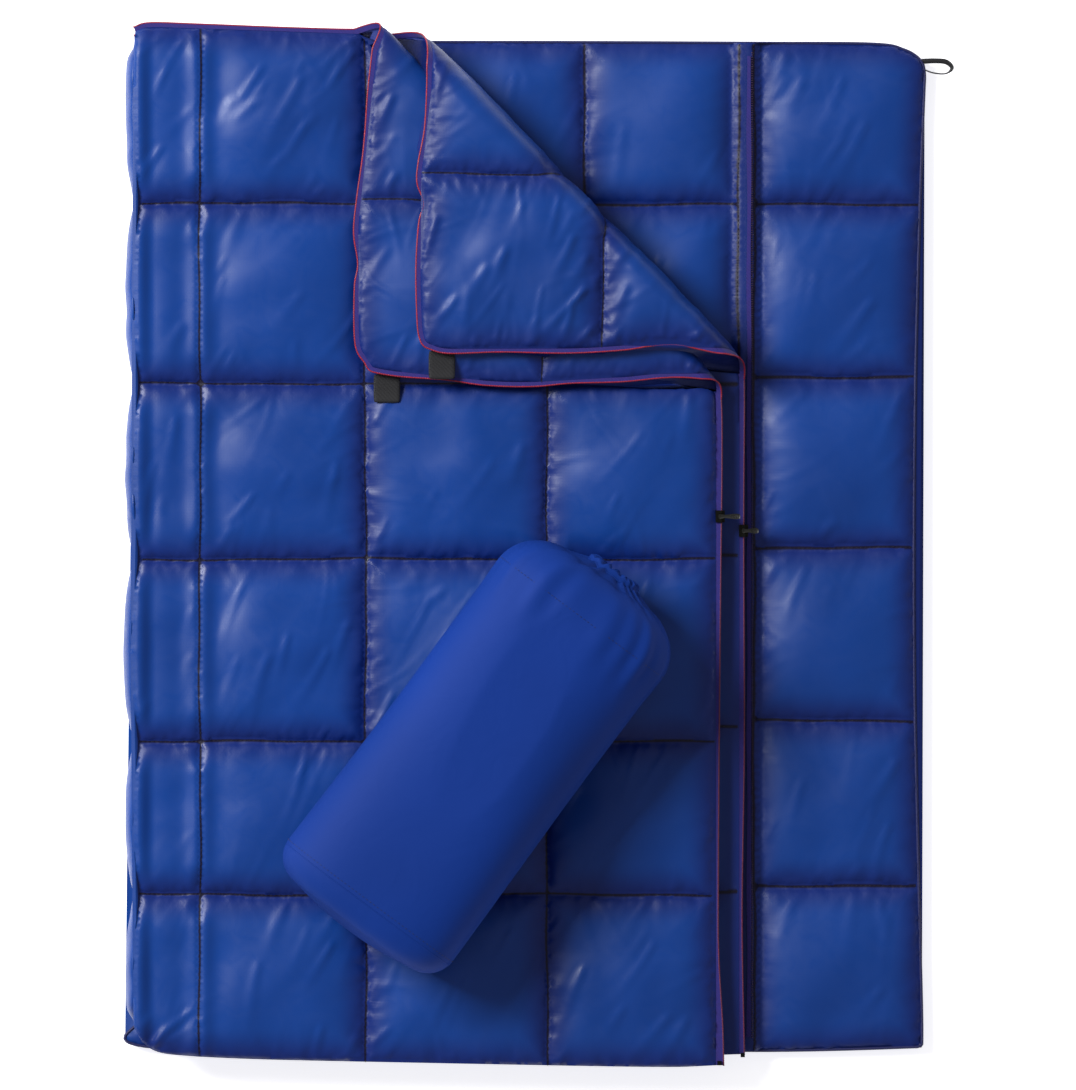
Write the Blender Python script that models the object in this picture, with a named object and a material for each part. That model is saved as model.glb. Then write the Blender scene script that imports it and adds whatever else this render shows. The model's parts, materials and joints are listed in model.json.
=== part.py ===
"""Quilted double sleeping bag with two covers, its head corner folded back, and a packed stuff sack on top.

Units are metres. +Z is up, +Y points to the head end, and the origin is the centre of the footprint on
the ground. The bag lies flat: back quilt, inner cover, outer cover, then the two folded corners.
"""

import math

import bmesh
import bpy
from mathutils import Matrix, Vector

# Fits
TOUCH = 0.0003          # gap between pieces that are sewn or pressed together
FOLD_GAP = 0.001        # half the open line left along a folded edge
SWING_GAP = 0.0006      # clearance around what turns or slides

# Back quilt
BACK_WIDTH = 1.462
BACK_LENGTH = 1.844
BACK_LOFT = 0.045
BACK_CORNER = 0.073
BINDING = 0.0025
BINDING_STEP = 0.002    # how far the binding stays back from each face

# Covers
OUTER_WIDTH = 1.093
INNER_SHOW = 0.043      # how far the inner cover shows past the outer one
OUTER_OVERHANG = 0.025  # how far each cover reaches past the back quilt at head and foot
INNER_OVERHANG = 0.0115
COVER_LOFT = 0.028
CLOTH = 0.0012
SLEEPING_GAP = 0.008    # between back and inner cover
LAYER_GAP = 0.004       # between layers that lie on each other
COVER_CORNER = 0.027

# Folded corner
FOLD_TURN = math.radians(44.25)   # direction of the fold's normal, from +X
OUTER_FOLD_DEPTH = 0.455
INNER_FOLD_DEPTH = 0.415

# Zips
COIL = 0.004
TAPE_WIDTH = 0.0075
TAPE = 0.0015
BACK_TAPE_SPACE = 0.004  # from the inner cover's edge to the back quilt's own zip tape

# Sliders and pulls
SLIDER_LENGTH = 0.022
SLIDER_WALL = 0.002
SLIDER_MARGIN = 0.006    # how far the slider reaches past the coil on the free side
EAR_HEIGHT = 0.0068
EAR_WIDTH = 0.006
PIN_RADIUS = 0.0008
PULL_WIDTH = 0.010
PULL = 0.0034
OUTER_PULL_LENGTH = 0.036
INNER_PULL_LENGTH = 0.027
OUTER_SLIDER_Y = 0.052
INNER_SLIDER_Y = 0.026
STOP_LENGTH = 0.008

# Hook tabs
TAB_WIDTH = 0.047
TAB_LENGTH = 0.051
TAB = 0.0025
TAB_LIFT = 0.0005        # from the layer a tab lies on
TAB_INSET = 0.020        # from the folded corner's tip

# Hanging loop
LOOP_REACH = 0.056
LOOP_WIDTH = 0.030
LOOP_STAND = 0.0015      # from the back quilt's edge to the loop's hinge line
LOOP_ROUND = 0.011
WEBBING = 0.002
WEBBING_WIDTH = 0.007
LOOP_FROM_HEAD = 0.050

# Stuff sack
SACK_LENGTH = 0.830
SACK_WIDTH = 0.368
SACK_HEIGHT = 0.225
SACK_FROM_SIDE = 0.665   # sack's centre from the closed side, and below the bag's middle
SACK_FROM_MIDDLE = 0.365
SACK_TURN = math.radians(52.8)    # direction of its mouth, from +X
SACK_WALL = 0.0015
BASE_ROUND = 0.060
MOUTH_ROUND = 0.095
ROUND_STEPS = 7          # facets round each end
CHANNEL = 0.022          # drawcord channel sewn round the mouth
MOUTH_HOLE = 0.028

# Places that follow from the sizes above
LEFT = -(BACK_WIDTH + LOOP_REACH) / 2
BACK_RIGHT = LEFT + BACK_WIDTH
BAND = COIL + TAPE_WIDTH + 2 * TOUCH
LOOP_Y = BACK_LENGTH / 2 - LOOP_FROM_HEAD
SACK_CENTRE = (LEFT + SACK_FROM_SIDE, -SACK_FROM_MIDDLE)
INNER_Z = BACK_LOFT + SLEEPING_GAP
OUTER_Z = INNER_Z + COVER_LOFT + LAYER_GAP
OUTER_TOP = OUTER_Z + COVER_LOFT
OUTER_FLAP_Z = OUTER_TOP + LAYER_GAP
INNER_FLAP_Z = OUTER_FLAP_Z + COVER_LOFT + LAYER_GAP
FOLD_Z = OUTER_TOP + LAYER_GAP / 2
HINGE_Z = BACK_LOFT + SLEEPING_GAP / 2
FOLD_NORMAL = Vector((math.cos(FOLD_TURN), math.sin(FOLD_TURN)))


class Cover:
    """One cover's rectangle, with its head corner cut along a fold."""

    def __init__(self, name, width, overhang, depth, low, flap_low):
        self.name = name
        self.right = LEFT + width
        self.head = BACK_LENGTH / 2 + overhang
        self.foot = -self.head
        self.corner = Vector((self.right, self.head))
        self.fold = FOLD_NORMAL.dot(self.corner) - depth
        self.fold_point = self.corner - FOLD_NORMAL * depth
        self.low = low
        self.flap_low = flap_low

    def on_head(self, y, side):
        """Where the fold meets a line along the head; side is -1 for the cover and 1 for its corner."""
        return Vector(((self.fold + side * FOLD_GAP - FOLD_NORMAL.y * y) / FOLD_NORMAL.x, y))

    def on_side(self, x, side):
        return Vector((x, (self.fold + side * FOLD_GAP - FOLD_NORMAL.x * x) / FOLD_NORMAL.y))

    def folded(self, point):
        """A point of the flat cover after it is turned over along the fold."""
        return point - 2 * (FOLD_NORMAL.dot(point) - self.fold) * FOLD_NORMAL


OUTER = Cover("outer", OUTER_WIDTH, OUTER_OVERHANG, OUTER_FOLD_DEPTH, OUTER_Z, OUTER_FLAP_Z)
INNER = Cover("inner", OUTER_WIDTH + INNER_SHOW, INNER_OVERHANG, INNER_FOLD_DEPTH, INNER_Z, INNER_FLAP_Z)


# Tools

def clear_scene():
    for thing in list(bpy.data.objects):
        bpy.data.objects.remove(thing, do_unlink=True)


def linear(part):
    return part / 12.92 if part <= 0.04045 else ((part + 0.055) / 1.055) ** 2.4


def finish(name, colour, roughness, metallic=0.0):
    """A plain material from an sRGB hex colour."""
    material = bpy.data.materials.new(name)
    material.use_nodes = True
    shader = material.node_tree.nodes["Principled BSDF"]
    parts = [linear(int(colour[i:i + 2], 16) / 255) for i in (1, 3, 5)]
    shader.inputs["Base Color"].default_value = (*parts, 1.0)
    shader.inputs["Roughness"].default_value = roughness
    shader.inputs["Metallic"].default_value = metallic
    return material


def joint_origin(name, place, parent=None):
    """An empty on a joint's axis, which carries the pieces that move on it."""
    empty = bpy.data.objects.new(name, None)
    bpy.context.collection.objects.link(empty)
    empty["world"] = tuple(place)
    if parent:
        empty.parent = parent
    empty.location = Vector(place) - (Vector(parent["world"]) if parent else Vector())
    return empty


def add_piece(name, shape, material, carrier=None):
    """Turn a bmesh, made in world places, into an object whose origin is its carrier's."""
    bmesh.ops.recalc_face_normals(shape, faces=shape.faces)
    origin = Vector(carrier["world"]) if carrier else Vector()
    bmesh.ops.translate(shape, verts=shape.verts, vec=-origin)
    mesh = bpy.data.meshes.new(name)
    shape.to_mesh(mesh)
    shape.free()
    mesh.materials.append(material)
    piece = bpy.data.objects.new(name, mesh)
    bpy.context.collection.objects.link(piece)
    piece.parent = carrier
    return piece


def rounded(points, radii, steps=6):
    """An outline with each corner replaced by an arc; a radius of 0 keeps the corner."""
    outline = []
    count = len(points)
    for i, (point, radius) in enumerate(zip(points, radii)):
        if radius <= 0:
            outline.append(point)
            continue
        back = (points[i - 1] - point).normalized()
        on = (points[(i + 1) % count] - point).normalized()
        half = back.angle(on) / 2
        centre = point + (back + on).normalized() * (radius / math.sin(half))
        start = point + back * (radius / math.tan(half)) - centre
        sweep = math.pi - 2 * half
        turn = 1 if back.x * on.y - back.y * on.x < 0 else -1
        for step in range(steps + 1):
            angle = turn * sweep * step / steps
            outline.append(centre + Matrix.Rotation(angle, 2) @ start)
    return outline


def box_outline(x0, x1, y0, y1):
    return [Vector((x0, y0)), Vector((x1, y0)), Vector((x1, y1)), Vector((x0, y1))]


def prism(outline, low, high):
    shape = bmesh.new()
    floor = [shape.verts.new((p.x, p.y, low)) for p in outline]
    roof = [shape.verts.new((p.x, p.y, high)) for p in outline]
    shape.faces.new(floor)
    shape.faces.new(roof)
    for i in range(len(outline)):
        shape.faces.new((floor[i - 1], floor[i], roof[i], roof[i - 1]))
    return shape


def ring_prism(outer, inner, low, high):
    """A closed band between two outlines with the same number of points."""
    shape = bmesh.new()
    loops = [[shape.verts.new((p.x, p.y, z)) for p in line] for line, z in
             ((outer, low), (outer, high), (inner, high), (inner, low))]
    for k, loop in enumerate(loops):
        after = loops[(k + 1) % 4]
        for i in range(len(loop)):
            shape.faces.new((loop[i - 1], loop[i], after[i], after[i - 1]))
    return shape


def prism_along_y(section, start, end):
    """An extrusion of an outline given in X and Z."""
    shape = prism(section, start, end)
    for vert in shape.verts:
        vert.co = Vector((vert.co.x, vert.co.z, vert.co.y))
    return shape


def cut(piece, cutter_shape, name, carrier):
    """Take a shape out of a piece with a Boolean; the cutter stays as a hidden guide."""
    cutter = add_piece(name, cutter_shape, piece.data.materials[0], carrier)
    cutter.hide_render = True
    cutter.display_type = "WIRE"
    modifier = piece.modifiers.new("cut", "BOOLEAN")
    modifier.operation = "DIFFERENCE"
    modifier.solver = "EXACT"
    modifier.object = cutter


def rod_along_y(centre, radius, start, end, sides=24):
    points = []
    for i in range(sides):
        angle = 2 * math.pi * i / sides
        points.append(Vector((centre.x + radius * math.cos(angle), centre.y + radius * math.sin(angle))))
    return prism_along_y(points, start, end)


# Quilts

def quilt_layers(prefix, outline, low, loft, finishes, carrier, turned=False):
    """Shell, fill and lining stacked as they are sewn; turned puts the lining on top."""
    shell_low = low if turned else low + loft - CLOTH
    lining_low = low + loft - CLOTH if turned else low
    add_piece(prefix + "_shell", prism(outline, shell_low, shell_low + CLOTH), finishes["shell"], carrier)
    fill_low = low + CLOTH + TOUCH
    fill_high = low + loft - CLOTH - TOUCH
    add_piece(prefix + "_fill", prism(outline, fill_low, fill_high), finishes["fill"], carrier)
    lining = prism(outline, lining_low, lining_low + CLOTH)
    add_piece(prefix + "_lining", lining, finishes["lining"], carrier)


def back_quilt(finishes):
    head = BACK_LENGTH / 2
    corners = box_outline(LEFT, BACK_RIGHT, -head, head)
    radii = [BACK_CORNER / 4, BACK_CORNER / 4, BACK_CORNER, BACK_CORNER / 4]

    def inset(step):
        shrunk = box_outline(LEFT + step, BACK_RIGHT - step, step - head, head - step)
        return rounded(shrunk, [r - step for r in radii])

    inner = inset(BINDING + TOUCH)
    quilt_layers("back", inner, 0.0, BACK_LOFT, finishes, None)
    band = ring_prism(rounded(corners, radii), inset(BINDING), BINDING_STEP, BACK_LOFT - BINDING_STEP)
    add_piece("back_binding", band, finishes["binding"])


def back_zip(finishes):
    """The back quilt's own half of the inner zip, sewn flat on its lining."""
    reach = BACK_LENGTH / 2 - 2 * BAND
    start = INNER.right + BACK_TAPE_SPACE
    tape_low = BACK_LOFT + TOUCH
    tape = box_outline(start, start + TAPE_WIDTH, -reach, reach)
    add_piece("back_zip_tape", prism(tape, tape_low, tape_low + TAPE), finishes["tape"])
    coil_start = start + TAPE_WIDTH + TOUCH
    coil = box_outline(coil_start, coil_start + COIL, -reach, reach)
    add_piece("back_zip_coil", prism(coil, tape_low, tape_low + COIL), finishes["coil"])


def cover_main(cover, finishes, carrier):
    """The flat part of a cover: its rectangle less the folded corner."""
    side = cover.right - BAND
    head = cover.head - BAND
    outline = [Vector((LEFT, cover.foot)), Vector((side, cover.foot)),
               cover.on_side(side, -1), cover.on_head(head, -1), Vector((LEFT, head))]
    quilt_layers(cover.name + "_cover", outline, cover.low, COVER_LOFT, finishes, carrier)


def cover_corner(cover, finishes, carrier):
    """The corner that is turned over along the fold, lining up."""
    side = cover.right - BAND
    head = cover.head - BAND
    flat = [cover.on_head(head, 1), cover.on_side(side, 1), Vector((side, head))]
    outline = [cover.folded(p) for p in rounded(flat, [0, 0, COVER_CORNER - BAND])]
    quilt_layers(cover.name + "_corner", outline, cover.flap_low, COVER_LOFT, finishes, carrier, turned=True)


def zip_run(cover, near, far, height, low, name, material, carriers):
    """One strip of the zip: along the head, round the folded corner, and down the side.

    near and far are the strip's distances in from the cover's edge, with near the greater.
    """
    main, corner = carriers
    x0, x1 = cover.right - near, cover.right - far
    y0, y1 = cover.head - near, cover.head - far
    middle = low + COVER_LOFT / 2
    head = [Vector((LEFT, y0)), cover.on_head(y0, -1), cover.on_head(y1, -1), Vector((LEFT, y1))]
    side = [Vector((x0, cover.foot)), Vector((x1, cover.foot)), cover.on_side(x1, -1), cover.on_side(x0, -1)]
    bend = [cover.on_head(y0, 1), Vector((x0, y0)), cover.on_side(x0, 1),
            cover.on_side(x1, 1), Vector((x1, y1)), cover.on_head(y1, 1)]
    bend = rounded(bend, [0, COVER_CORNER - near, 0, 0, COVER_CORNER - far, 0])
    flap_middle = cover.flap_low + COVER_LOFT / 2
    for part, outline, centre, carrier in (
        ("head", head, middle, main),
        ("side", side, middle, main),
        ("corner", [cover.folded(p) for p in bend], flap_middle, corner),
    ):
        strip = prism(outline, centre - height / 2, centre + height / 2)
        add_piece(f"{cover.name}_{part}_{name}", strip, material, carrier)


def cover_zips(cover, finishes, carriers):
    zip_run(cover, BAND - TOUCH, COIL + TOUCH, TAPE, cover.low, "tape", finishes["tape"], carriers)
    zip_run(cover, COIL, 0.0, COIL, cover.low, "coil", finishes["coil"], carriers)


def zip_stop(cover, finishes, carrier):
    """The block below the foot end of the side zip's run, clipped over the tape."""
    middle = cover.low + COVER_LOFT / 2
    low = middle + COIL / 2 + TOUCH
    start = cover.foot
    outline = box_outline(cover.right - COIL - TAPE_WIDTH / 2, cover.right, start, start + STOP_LENGTH)
    add_piece(cover.name + "_zip_stop", prism(outline, low, low + SLIDER_WALL), finishes["metal"], carrier)


# Sliders

def slider_section(cover):
    """A C that runs over the coil, with a raised block on top for the pull's ears."""
    middle = cover.low + COVER_LOFT / 2
    free = cover.right + SLIDER_MARGIN
    held = cover.right - BAND + 2 * SWING_GAP
    inside = cover.right + SWING_GAP
    bore = COIL / 2 + SWING_GAP
    out = bore + SLIDER_WALL
    ear = pull_axis(cover)
    top = middle + out
    rim = EAR_WIDTH / 2
    return [Vector((held, middle - out)), Vector((free, middle - out)), Vector((free, top)),
            Vector((ear.x + rim, top)), Vector((ear.x + rim, top + EAR_HEIGHT)),
            Vector((ear.x - rim, top + EAR_HEIGHT)), Vector((ear.x - rim, top)),
            Vector((held, top)), Vector((held, middle + bore)), Vector((inside, middle + bore)),
            Vector((inside, middle - bore)), Vector((held, middle - bore))]


def pull_axis(cover):
    """X and Z of the pin that a slider's pull turns on."""
    top = cover.low + COVER_LOFT / 2 + COIL / 2 + SWING_GAP + SLIDER_WALL
    return Vector((cover.right - COIL / 2, top + EAR_HEIGHT / 2))


def slider(cover, y, pull_length, finishes, slide, swing):
    start, end = y - SLIDER_LENGTH / 2, y + SLIDER_LENGTH / 2
    name = cover.name + "_slider"
    body = add_piece(name, prism_along_y(slider_section(cover), start, end), finishes["metal"], slide)
    axis = pull_axis(cover)
    slot = PULL_WIDTH / 2 + SWING_GAP
    floor = axis.y - EAR_HEIGHT / 2
    middle_slot = box_outline(axis.x - EAR_WIDTH, axis.x + EAR_WIDTH, floor, floor + 2 * EAR_HEIGHT)
    cut(body, prism_along_y(middle_slot, y - slot, y + slot), name + "_slot_guide", slide)
    bore = rod_along_y(axis, PIN_RADIUS + TOUCH, start - COIL, end + COIL)
    cut(body, bore, name + "_bore_guide", slide)
    pin_reach = SLIDER_LENGTH / 2 - TOUCH
    pin = rod_along_y(axis, PIN_RADIUS, y - pin_reach, y + pin_reach)
    add_piece(name + "_pin", pin, finishes["metal"], slide)

    root = PULL / 2 + PIN_RADIUS
    half = PULL_WIDTH / 2
    tip = axis.x + pull_length
    plate = rounded(box_outline(axis.x - root, tip, y - half, y + half), [0, half / 2, half / 2, 0])
    pull = add_piece(cover.name + "_pull", prism(plate, axis.y - PULL / 2, axis.y + PULL / 2),
                     finishes["pull"], swing)
    hole = rod_along_y(axis, PIN_RADIUS + TOUCH, y - PULL_WIDTH, y + PULL_WIDTH)
    cut(pull, hole, cover.name + "_pull_bore_guide", swing)


# Hook tabs and hanging loop

def tab_frame(cover):
    """The folded corner's tip and the unit directions along and out of the edge that holds the tab."""
    tip = cover.folded(cover.corner)
    along = (cover.folded(Vector((cover.right, cover.foot))) - tip).normalized()
    out = Vector((along.y, -along.x))
    return tip, along, out


def tab_axis(cover):
    tip, along, _ = tab_frame(cover)
    place = tip + along * (TAB_INSET + TAB_WIDTH / 2)
    return (place.x, place.y, cover.flap_low + COVER_LOFT / 2)


def hook_tab(cover, finishes, carrier):
    tip, along, out = tab_frame(cover)
    first = tip + along * TAB_INSET + out * SWING_GAP
    low = cover.flap_low - LAYER_GAP + TAB_LIFT
    corners = [first, first + along * TAB_WIDTH,
               first + along * TAB_WIDTH + out * TAB_LENGTH, first + out * TAB_LENGTH]
    outline = rounded(corners, [0, 0, TAB, TAB])
    add_piece(cover.name + "_tab", prism(outline, low, low + TAB), finishes["webbing"], carrier)


def hanging_loop(finishes, carrier):
    start = BACK_RIGHT + LOOP_STAND
    end = BACK_RIGHT + LOOP_REACH
    half = LOOP_WIDTH / 2
    eye = half - WEBBING_WIDTH
    outer = box_outline(start, end, LOOP_Y - half, LOOP_Y + half)
    inner = box_outline(start + WEBBING_WIDTH, end - WEBBING_WIDTH, LOOP_Y - eye, LOOP_Y + eye)
    band = ring_prism(
        rounded(outer, [WEBBING, LOOP_ROUND, LOOP_ROUND, WEBBING]),
        rounded(inner, [WEBBING, LOOP_ROUND - WEBBING_WIDTH, LOOP_ROUND - WEBBING_WIDTH, WEBBING]),
        BACK_LOFT / 2 - WEBBING / 2,
        BACK_LOFT / 2 + WEBBING / 2,
    )
    add_piece("hanging_loop", band, finishes["webbing"], carrier)


# Stuff sack

def sack_ring(s, half, tall, sides=36):
    """World points of a rounded cross-section at the distance s from the sack's base end."""
    centre_z = OUTER_TOP + TOUCH + SACK_HEIGHT / 2
    axis = Vector((math.cos(SACK_TURN), math.sin(SACK_TURN)))
    across = Vector((-axis.y, axis.x))
    place = Vector(SACK_CENTRE) + axis * (s - SACK_LENGTH / 2)
    points = []
    for i in range(sides):
        angle = 2 * math.pi * i / sides
        side = math.copysign(abs(math.cos(angle)) ** 0.85, math.cos(angle))
        rise = math.copysign(abs(math.sin(angle)) ** 0.85, math.sin(angle))
        spot = place + across * (half * side)
        points.append(Vector((spot.x, spot.y, centre_z + tall * rise)))
    return points


def end_rings(radius, inset, from_mouth):
    """Rings round one end, from its flat tip out to the full cross-section."""
    rings = []
    for step in range(ROUND_STEPS + 1):
        angle = math.pi / 2 * step / ROUND_STEPS
        s = radius - (radius - inset) * math.cos(angle)
        lost = radius - (radius - inset) * math.sin(angle)
        if from_mouth:
            s = SACK_LENGTH - s
        rings.append(sack_ring(s, SACK_WIDTH / 2 - lost, SACK_HEIGHT / 2 - lost))
    return rings


def loft(rings, closed_round=False):
    """Skin over a row of rings; closed_round joins the last ring to the first, as a tube's wall needs."""
    shape = bmesh.new()
    loops = [[shape.verts.new(p) for p in ring] for ring in rings]
    pairs = list(zip(loops, loops[1:]))
    if closed_round:
        pairs.append((loops[-1], loops[0]))
    else:
        shape.faces.new(loops[0])
        shape.faces.new(loops[-1])
    for first, second in pairs:
        for i in range(len(first)):
            shape.faces.new((first[i - 1], first[i], second[i], second[i - 1]))
    for face in shape.faces:
        face.smooth = True
    return shape


def sack_sleeve(start, end):
    """A straight wall that is open at both ends."""
    half, tall = SACK_WIDTH / 2, SACK_HEIGHT / 2
    outer = [sack_ring(s, half, tall) for s in (start, end)]
    inner = [sack_ring(s, half - SACK_WALL, tall - SACK_WALL) for s in (end, start)]
    return loft(outer + inner, closed_round=True)


def mouth_hole(inset):
    tall = SACK_HEIGHT / 2 - MOUTH_ROUND
    return sack_ring(SACK_LENGTH - inset, MOUTH_HOLE, tall / 2)


def stuff_sack(finishes, carrier):
    channel_end = SACK_LENGTH - MOUTH_ROUND
    channel_start = channel_end - CHANNEL
    barrel = sack_sleeve(BASE_ROUND + TOUCH, channel_start - TOUCH)
    add_piece("sack_barrel", barrel, finishes["sack"], carrier)
    channel = sack_sleeve(channel_start, channel_end - TOUCH)
    add_piece("sack_drawcord_channel", channel, finishes["sack"], carrier)

    base = end_rings(BASE_ROUND, 0.0, False) + end_rings(BASE_ROUND, SACK_WALL, False)[::-1]
    add_piece("sack_base", loft(base), finishes["sack"], carrier)

    outside = [mouth_hole(0.0)] + end_rings(MOUTH_ROUND, 0.0, True)
    inside = [mouth_hole(SACK_WALL)] + end_rings(MOUTH_ROUND, SACK_WALL, True)
    mouth = loft(outside + inside[::-1], closed_round=True)
    add_piece("sack_mouth", mouth, finishes["sack"], carrier)

    depth = SACK_WALL + TOUCH
    packed = end_rings(BASE_ROUND, depth, False) + end_rings(MOUTH_ROUND, depth, True)[::-1]
    add_piece("sack_contents", loft(packed), finishes["fill"], carrier)


# Assembly

def make_finishes():
    return {
        "shell": finish("blue taffeta shell", "#1f4694", 0.42),
        "lining": finish("blue taffeta lining", "#1d3f8a", 0.45),
        "fill": finish("hollow fibre fill", "#e8e9ec", 0.9),
        "binding": finish("navy edge binding", "#10205c", 0.6),
        "tape": finish("navy zip tape", "#141a52", 0.75),
        "coil": finish("red nylon coil", "#a01d2c", 0.4),
        "metal": finish("blackened zinc", "#24251f", 0.4, 0.8),
        "pull": finish("olive moulded pull", "#23261e", 0.5),
        "webbing": finish("black webbing", "#10121e", 0.8),
        "sack": finish("blue sack cloth", "#17398a", 0.6),
    }


def make_covers(finishes):
    covers = joint_origin("covers_hinge", (LEFT, 0.0, HINGE_Z))
    for cover, slider_y, pull_length in (
        (INNER, INNER_SLIDER_Y, INNER_PULL_LENGTH),
        (OUTER, OUTER_SLIDER_Y, OUTER_PULL_LENGTH),
    ):
        corner = joint_origin(cover.name + "_corner_hinge", (*cover.fold_point, FOLD_Z), covers)
        cover_main(cover, finishes, covers)
        cover_corner(cover, finishes, corner)
        cover_zips(cover, finishes, (covers, corner))
        zip_stop(cover, finishes, covers)
        tab = joint_origin(cover.name + "_tab_hinge", tab_axis(cover), corner)
        hook_tab(cover, finishes, tab)
        axis = pull_axis(cover)
        slide = joint_origin(cover.name + "_slide", (axis.x, slider_y, axis.y), covers)
        swing = joint_origin(cover.name + "_pull_hinge", (axis.x, slider_y, axis.y), slide)
        slider(cover, slider_y, pull_length, finishes, slide, swing)
    return covers


def main():
    clear_scene()
    finishes = make_finishes()
    back_quilt(finishes)
    back_zip(finishes)
    loop = joint_origin("loop_hinge", (BACK_RIGHT + LOOP_STAND, LOOP_Y, BACK_LOFT / 2))
    hanging_loop(finishes, loop)
    covers = make_covers(finishes)
    sack = joint_origin("sack_place", (*SACK_CENTRE, OUTER_TOP), covers)
    stuff_sack(finishes, sack)


main()
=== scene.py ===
import json
import math

import bmesh
import bpy
import numpy as np
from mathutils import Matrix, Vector, kdtree
from mathutils.geometry import delaunay_2d_cdt


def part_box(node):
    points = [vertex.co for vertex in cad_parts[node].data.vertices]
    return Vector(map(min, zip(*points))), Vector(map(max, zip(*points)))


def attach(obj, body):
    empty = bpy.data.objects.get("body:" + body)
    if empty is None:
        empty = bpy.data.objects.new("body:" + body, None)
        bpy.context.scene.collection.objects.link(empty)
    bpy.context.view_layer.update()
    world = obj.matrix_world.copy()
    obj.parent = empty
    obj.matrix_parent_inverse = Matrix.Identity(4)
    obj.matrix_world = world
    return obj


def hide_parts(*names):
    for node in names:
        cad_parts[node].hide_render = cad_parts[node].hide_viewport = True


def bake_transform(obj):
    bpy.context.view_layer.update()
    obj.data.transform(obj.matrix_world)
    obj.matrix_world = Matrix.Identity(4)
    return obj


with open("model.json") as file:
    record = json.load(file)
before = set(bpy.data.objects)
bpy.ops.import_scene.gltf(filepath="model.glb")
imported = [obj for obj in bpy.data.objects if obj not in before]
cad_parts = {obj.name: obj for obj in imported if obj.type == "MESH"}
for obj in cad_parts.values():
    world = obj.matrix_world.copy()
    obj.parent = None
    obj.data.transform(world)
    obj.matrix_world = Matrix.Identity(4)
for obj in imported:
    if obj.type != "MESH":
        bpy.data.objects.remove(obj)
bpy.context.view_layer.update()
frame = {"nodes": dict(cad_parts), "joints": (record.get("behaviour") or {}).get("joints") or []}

bl_info = {
    "name": "Double Sleeping Bag",
    "version": (1, 0, 0),
    "blender": (4, 5, 0),
    "location": "3D View > Sidebar > Sleeping Bag",
    "description": "Puffed quilts, zips and a stuff sack around the bag's working frame",
    "category": "Object",
}

# Seams, in metres from the middle of the bag. Columns run head to foot, rows run side to side.
OUTER_COLUMNS = (-0.615, -0.314, 0.017)
INNER_COLUMNS = (-0.580, -0.262, 0.056)
BACK_COLUMNS = (-0.530, -0.225, 0.086)
OUTER_ROWS = (0.6215, 0.294, -0.026, -0.358, -0.636)
INNER_ROWS = (0.600, 0.294, -0.020, -0.330, -0.630)
BACK_ROWS = (0.6215, 0.307, -0.006, -0.321, -0.6215)
BACK_BAND = (0.366, 0.394)     # the flat band that carries the back quilt's half of the zip

# How each free edge wanders from straight: share of the run, and metres outwards.
# "side" runs from the foot to the fold, "low" from the fold to the corner's tip, "tip" from there to the
# fold at the head, and "head" from the fold to the closed side.
OUTER_EDGE = {
    "side": ((0.0, 0.006), (0.06, 0.004), (0.16, -0.003), (0.25, -0.004), (0.5, -0.002), (0.74, 0.001),
             (0.88, 0.003), (0.97, 0.002)),
    "low": ((0.12, -0.006), (0.28, 0.005), (0.42, 0.010), (0.53, 0.018), (0.66, 0.018), (0.77, 0.010),
            (0.90, 0.006)),
    "tip": ((0.08, 0.018), (0.24, 0.022), (0.31, 0.017), (0.40, 0.026), (0.50, 0.022), (0.61, 0.014),
            (0.70, 0.010), (0.81, 0.007), (0.94, 0.0)),
    "head": ((0.05, -0.006), (0.35, -0.003), (0.70, 0.003), (0.93, 0.006)),
}
INNER_EDGE = {
    "side": ((0.0, 0.001), (0.20, -0.003), (0.45, 0.001), (0.75, 0.0), (0.97, 0.001)),
    "low": ((0.08, -0.006), (0.14, -0.012), (0.21, -0.019), (0.29, -0.016), (0.38, -0.007), (0.55, 0.001),
            (0.75, 0.002), (0.91, 0.007)),
    "tip": ((0.08, 0.005), (0.25, 0.010), (0.395, 0.007), (0.458, -0.001), (0.52, 0.012), (0.584, 0.011),
            (0.694, 0.001), (0.85, -0.001), (0.96, 0.002)),
    "head": ((0.10, 0.0), (0.50, 0.001), (0.90, 0.0)),
}

MM = 0.001
SHEET_EDGE = 1.3 * MM          # half the height of a sewn edge
TAPE_INSIDE = 10.5 * MM        # from a cover's free edge in to where its quilting starts
COIL_CENTRE = 2.2 * MM         # from a cover's free edge in to the middle of its coil
TIP_ROUND = 22 * MM            # radius of a corner's tip
PINCH = 22 * MM                # how far the closed side is pulled in at each row


# ---------------------------------------------------------------- settings

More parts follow.
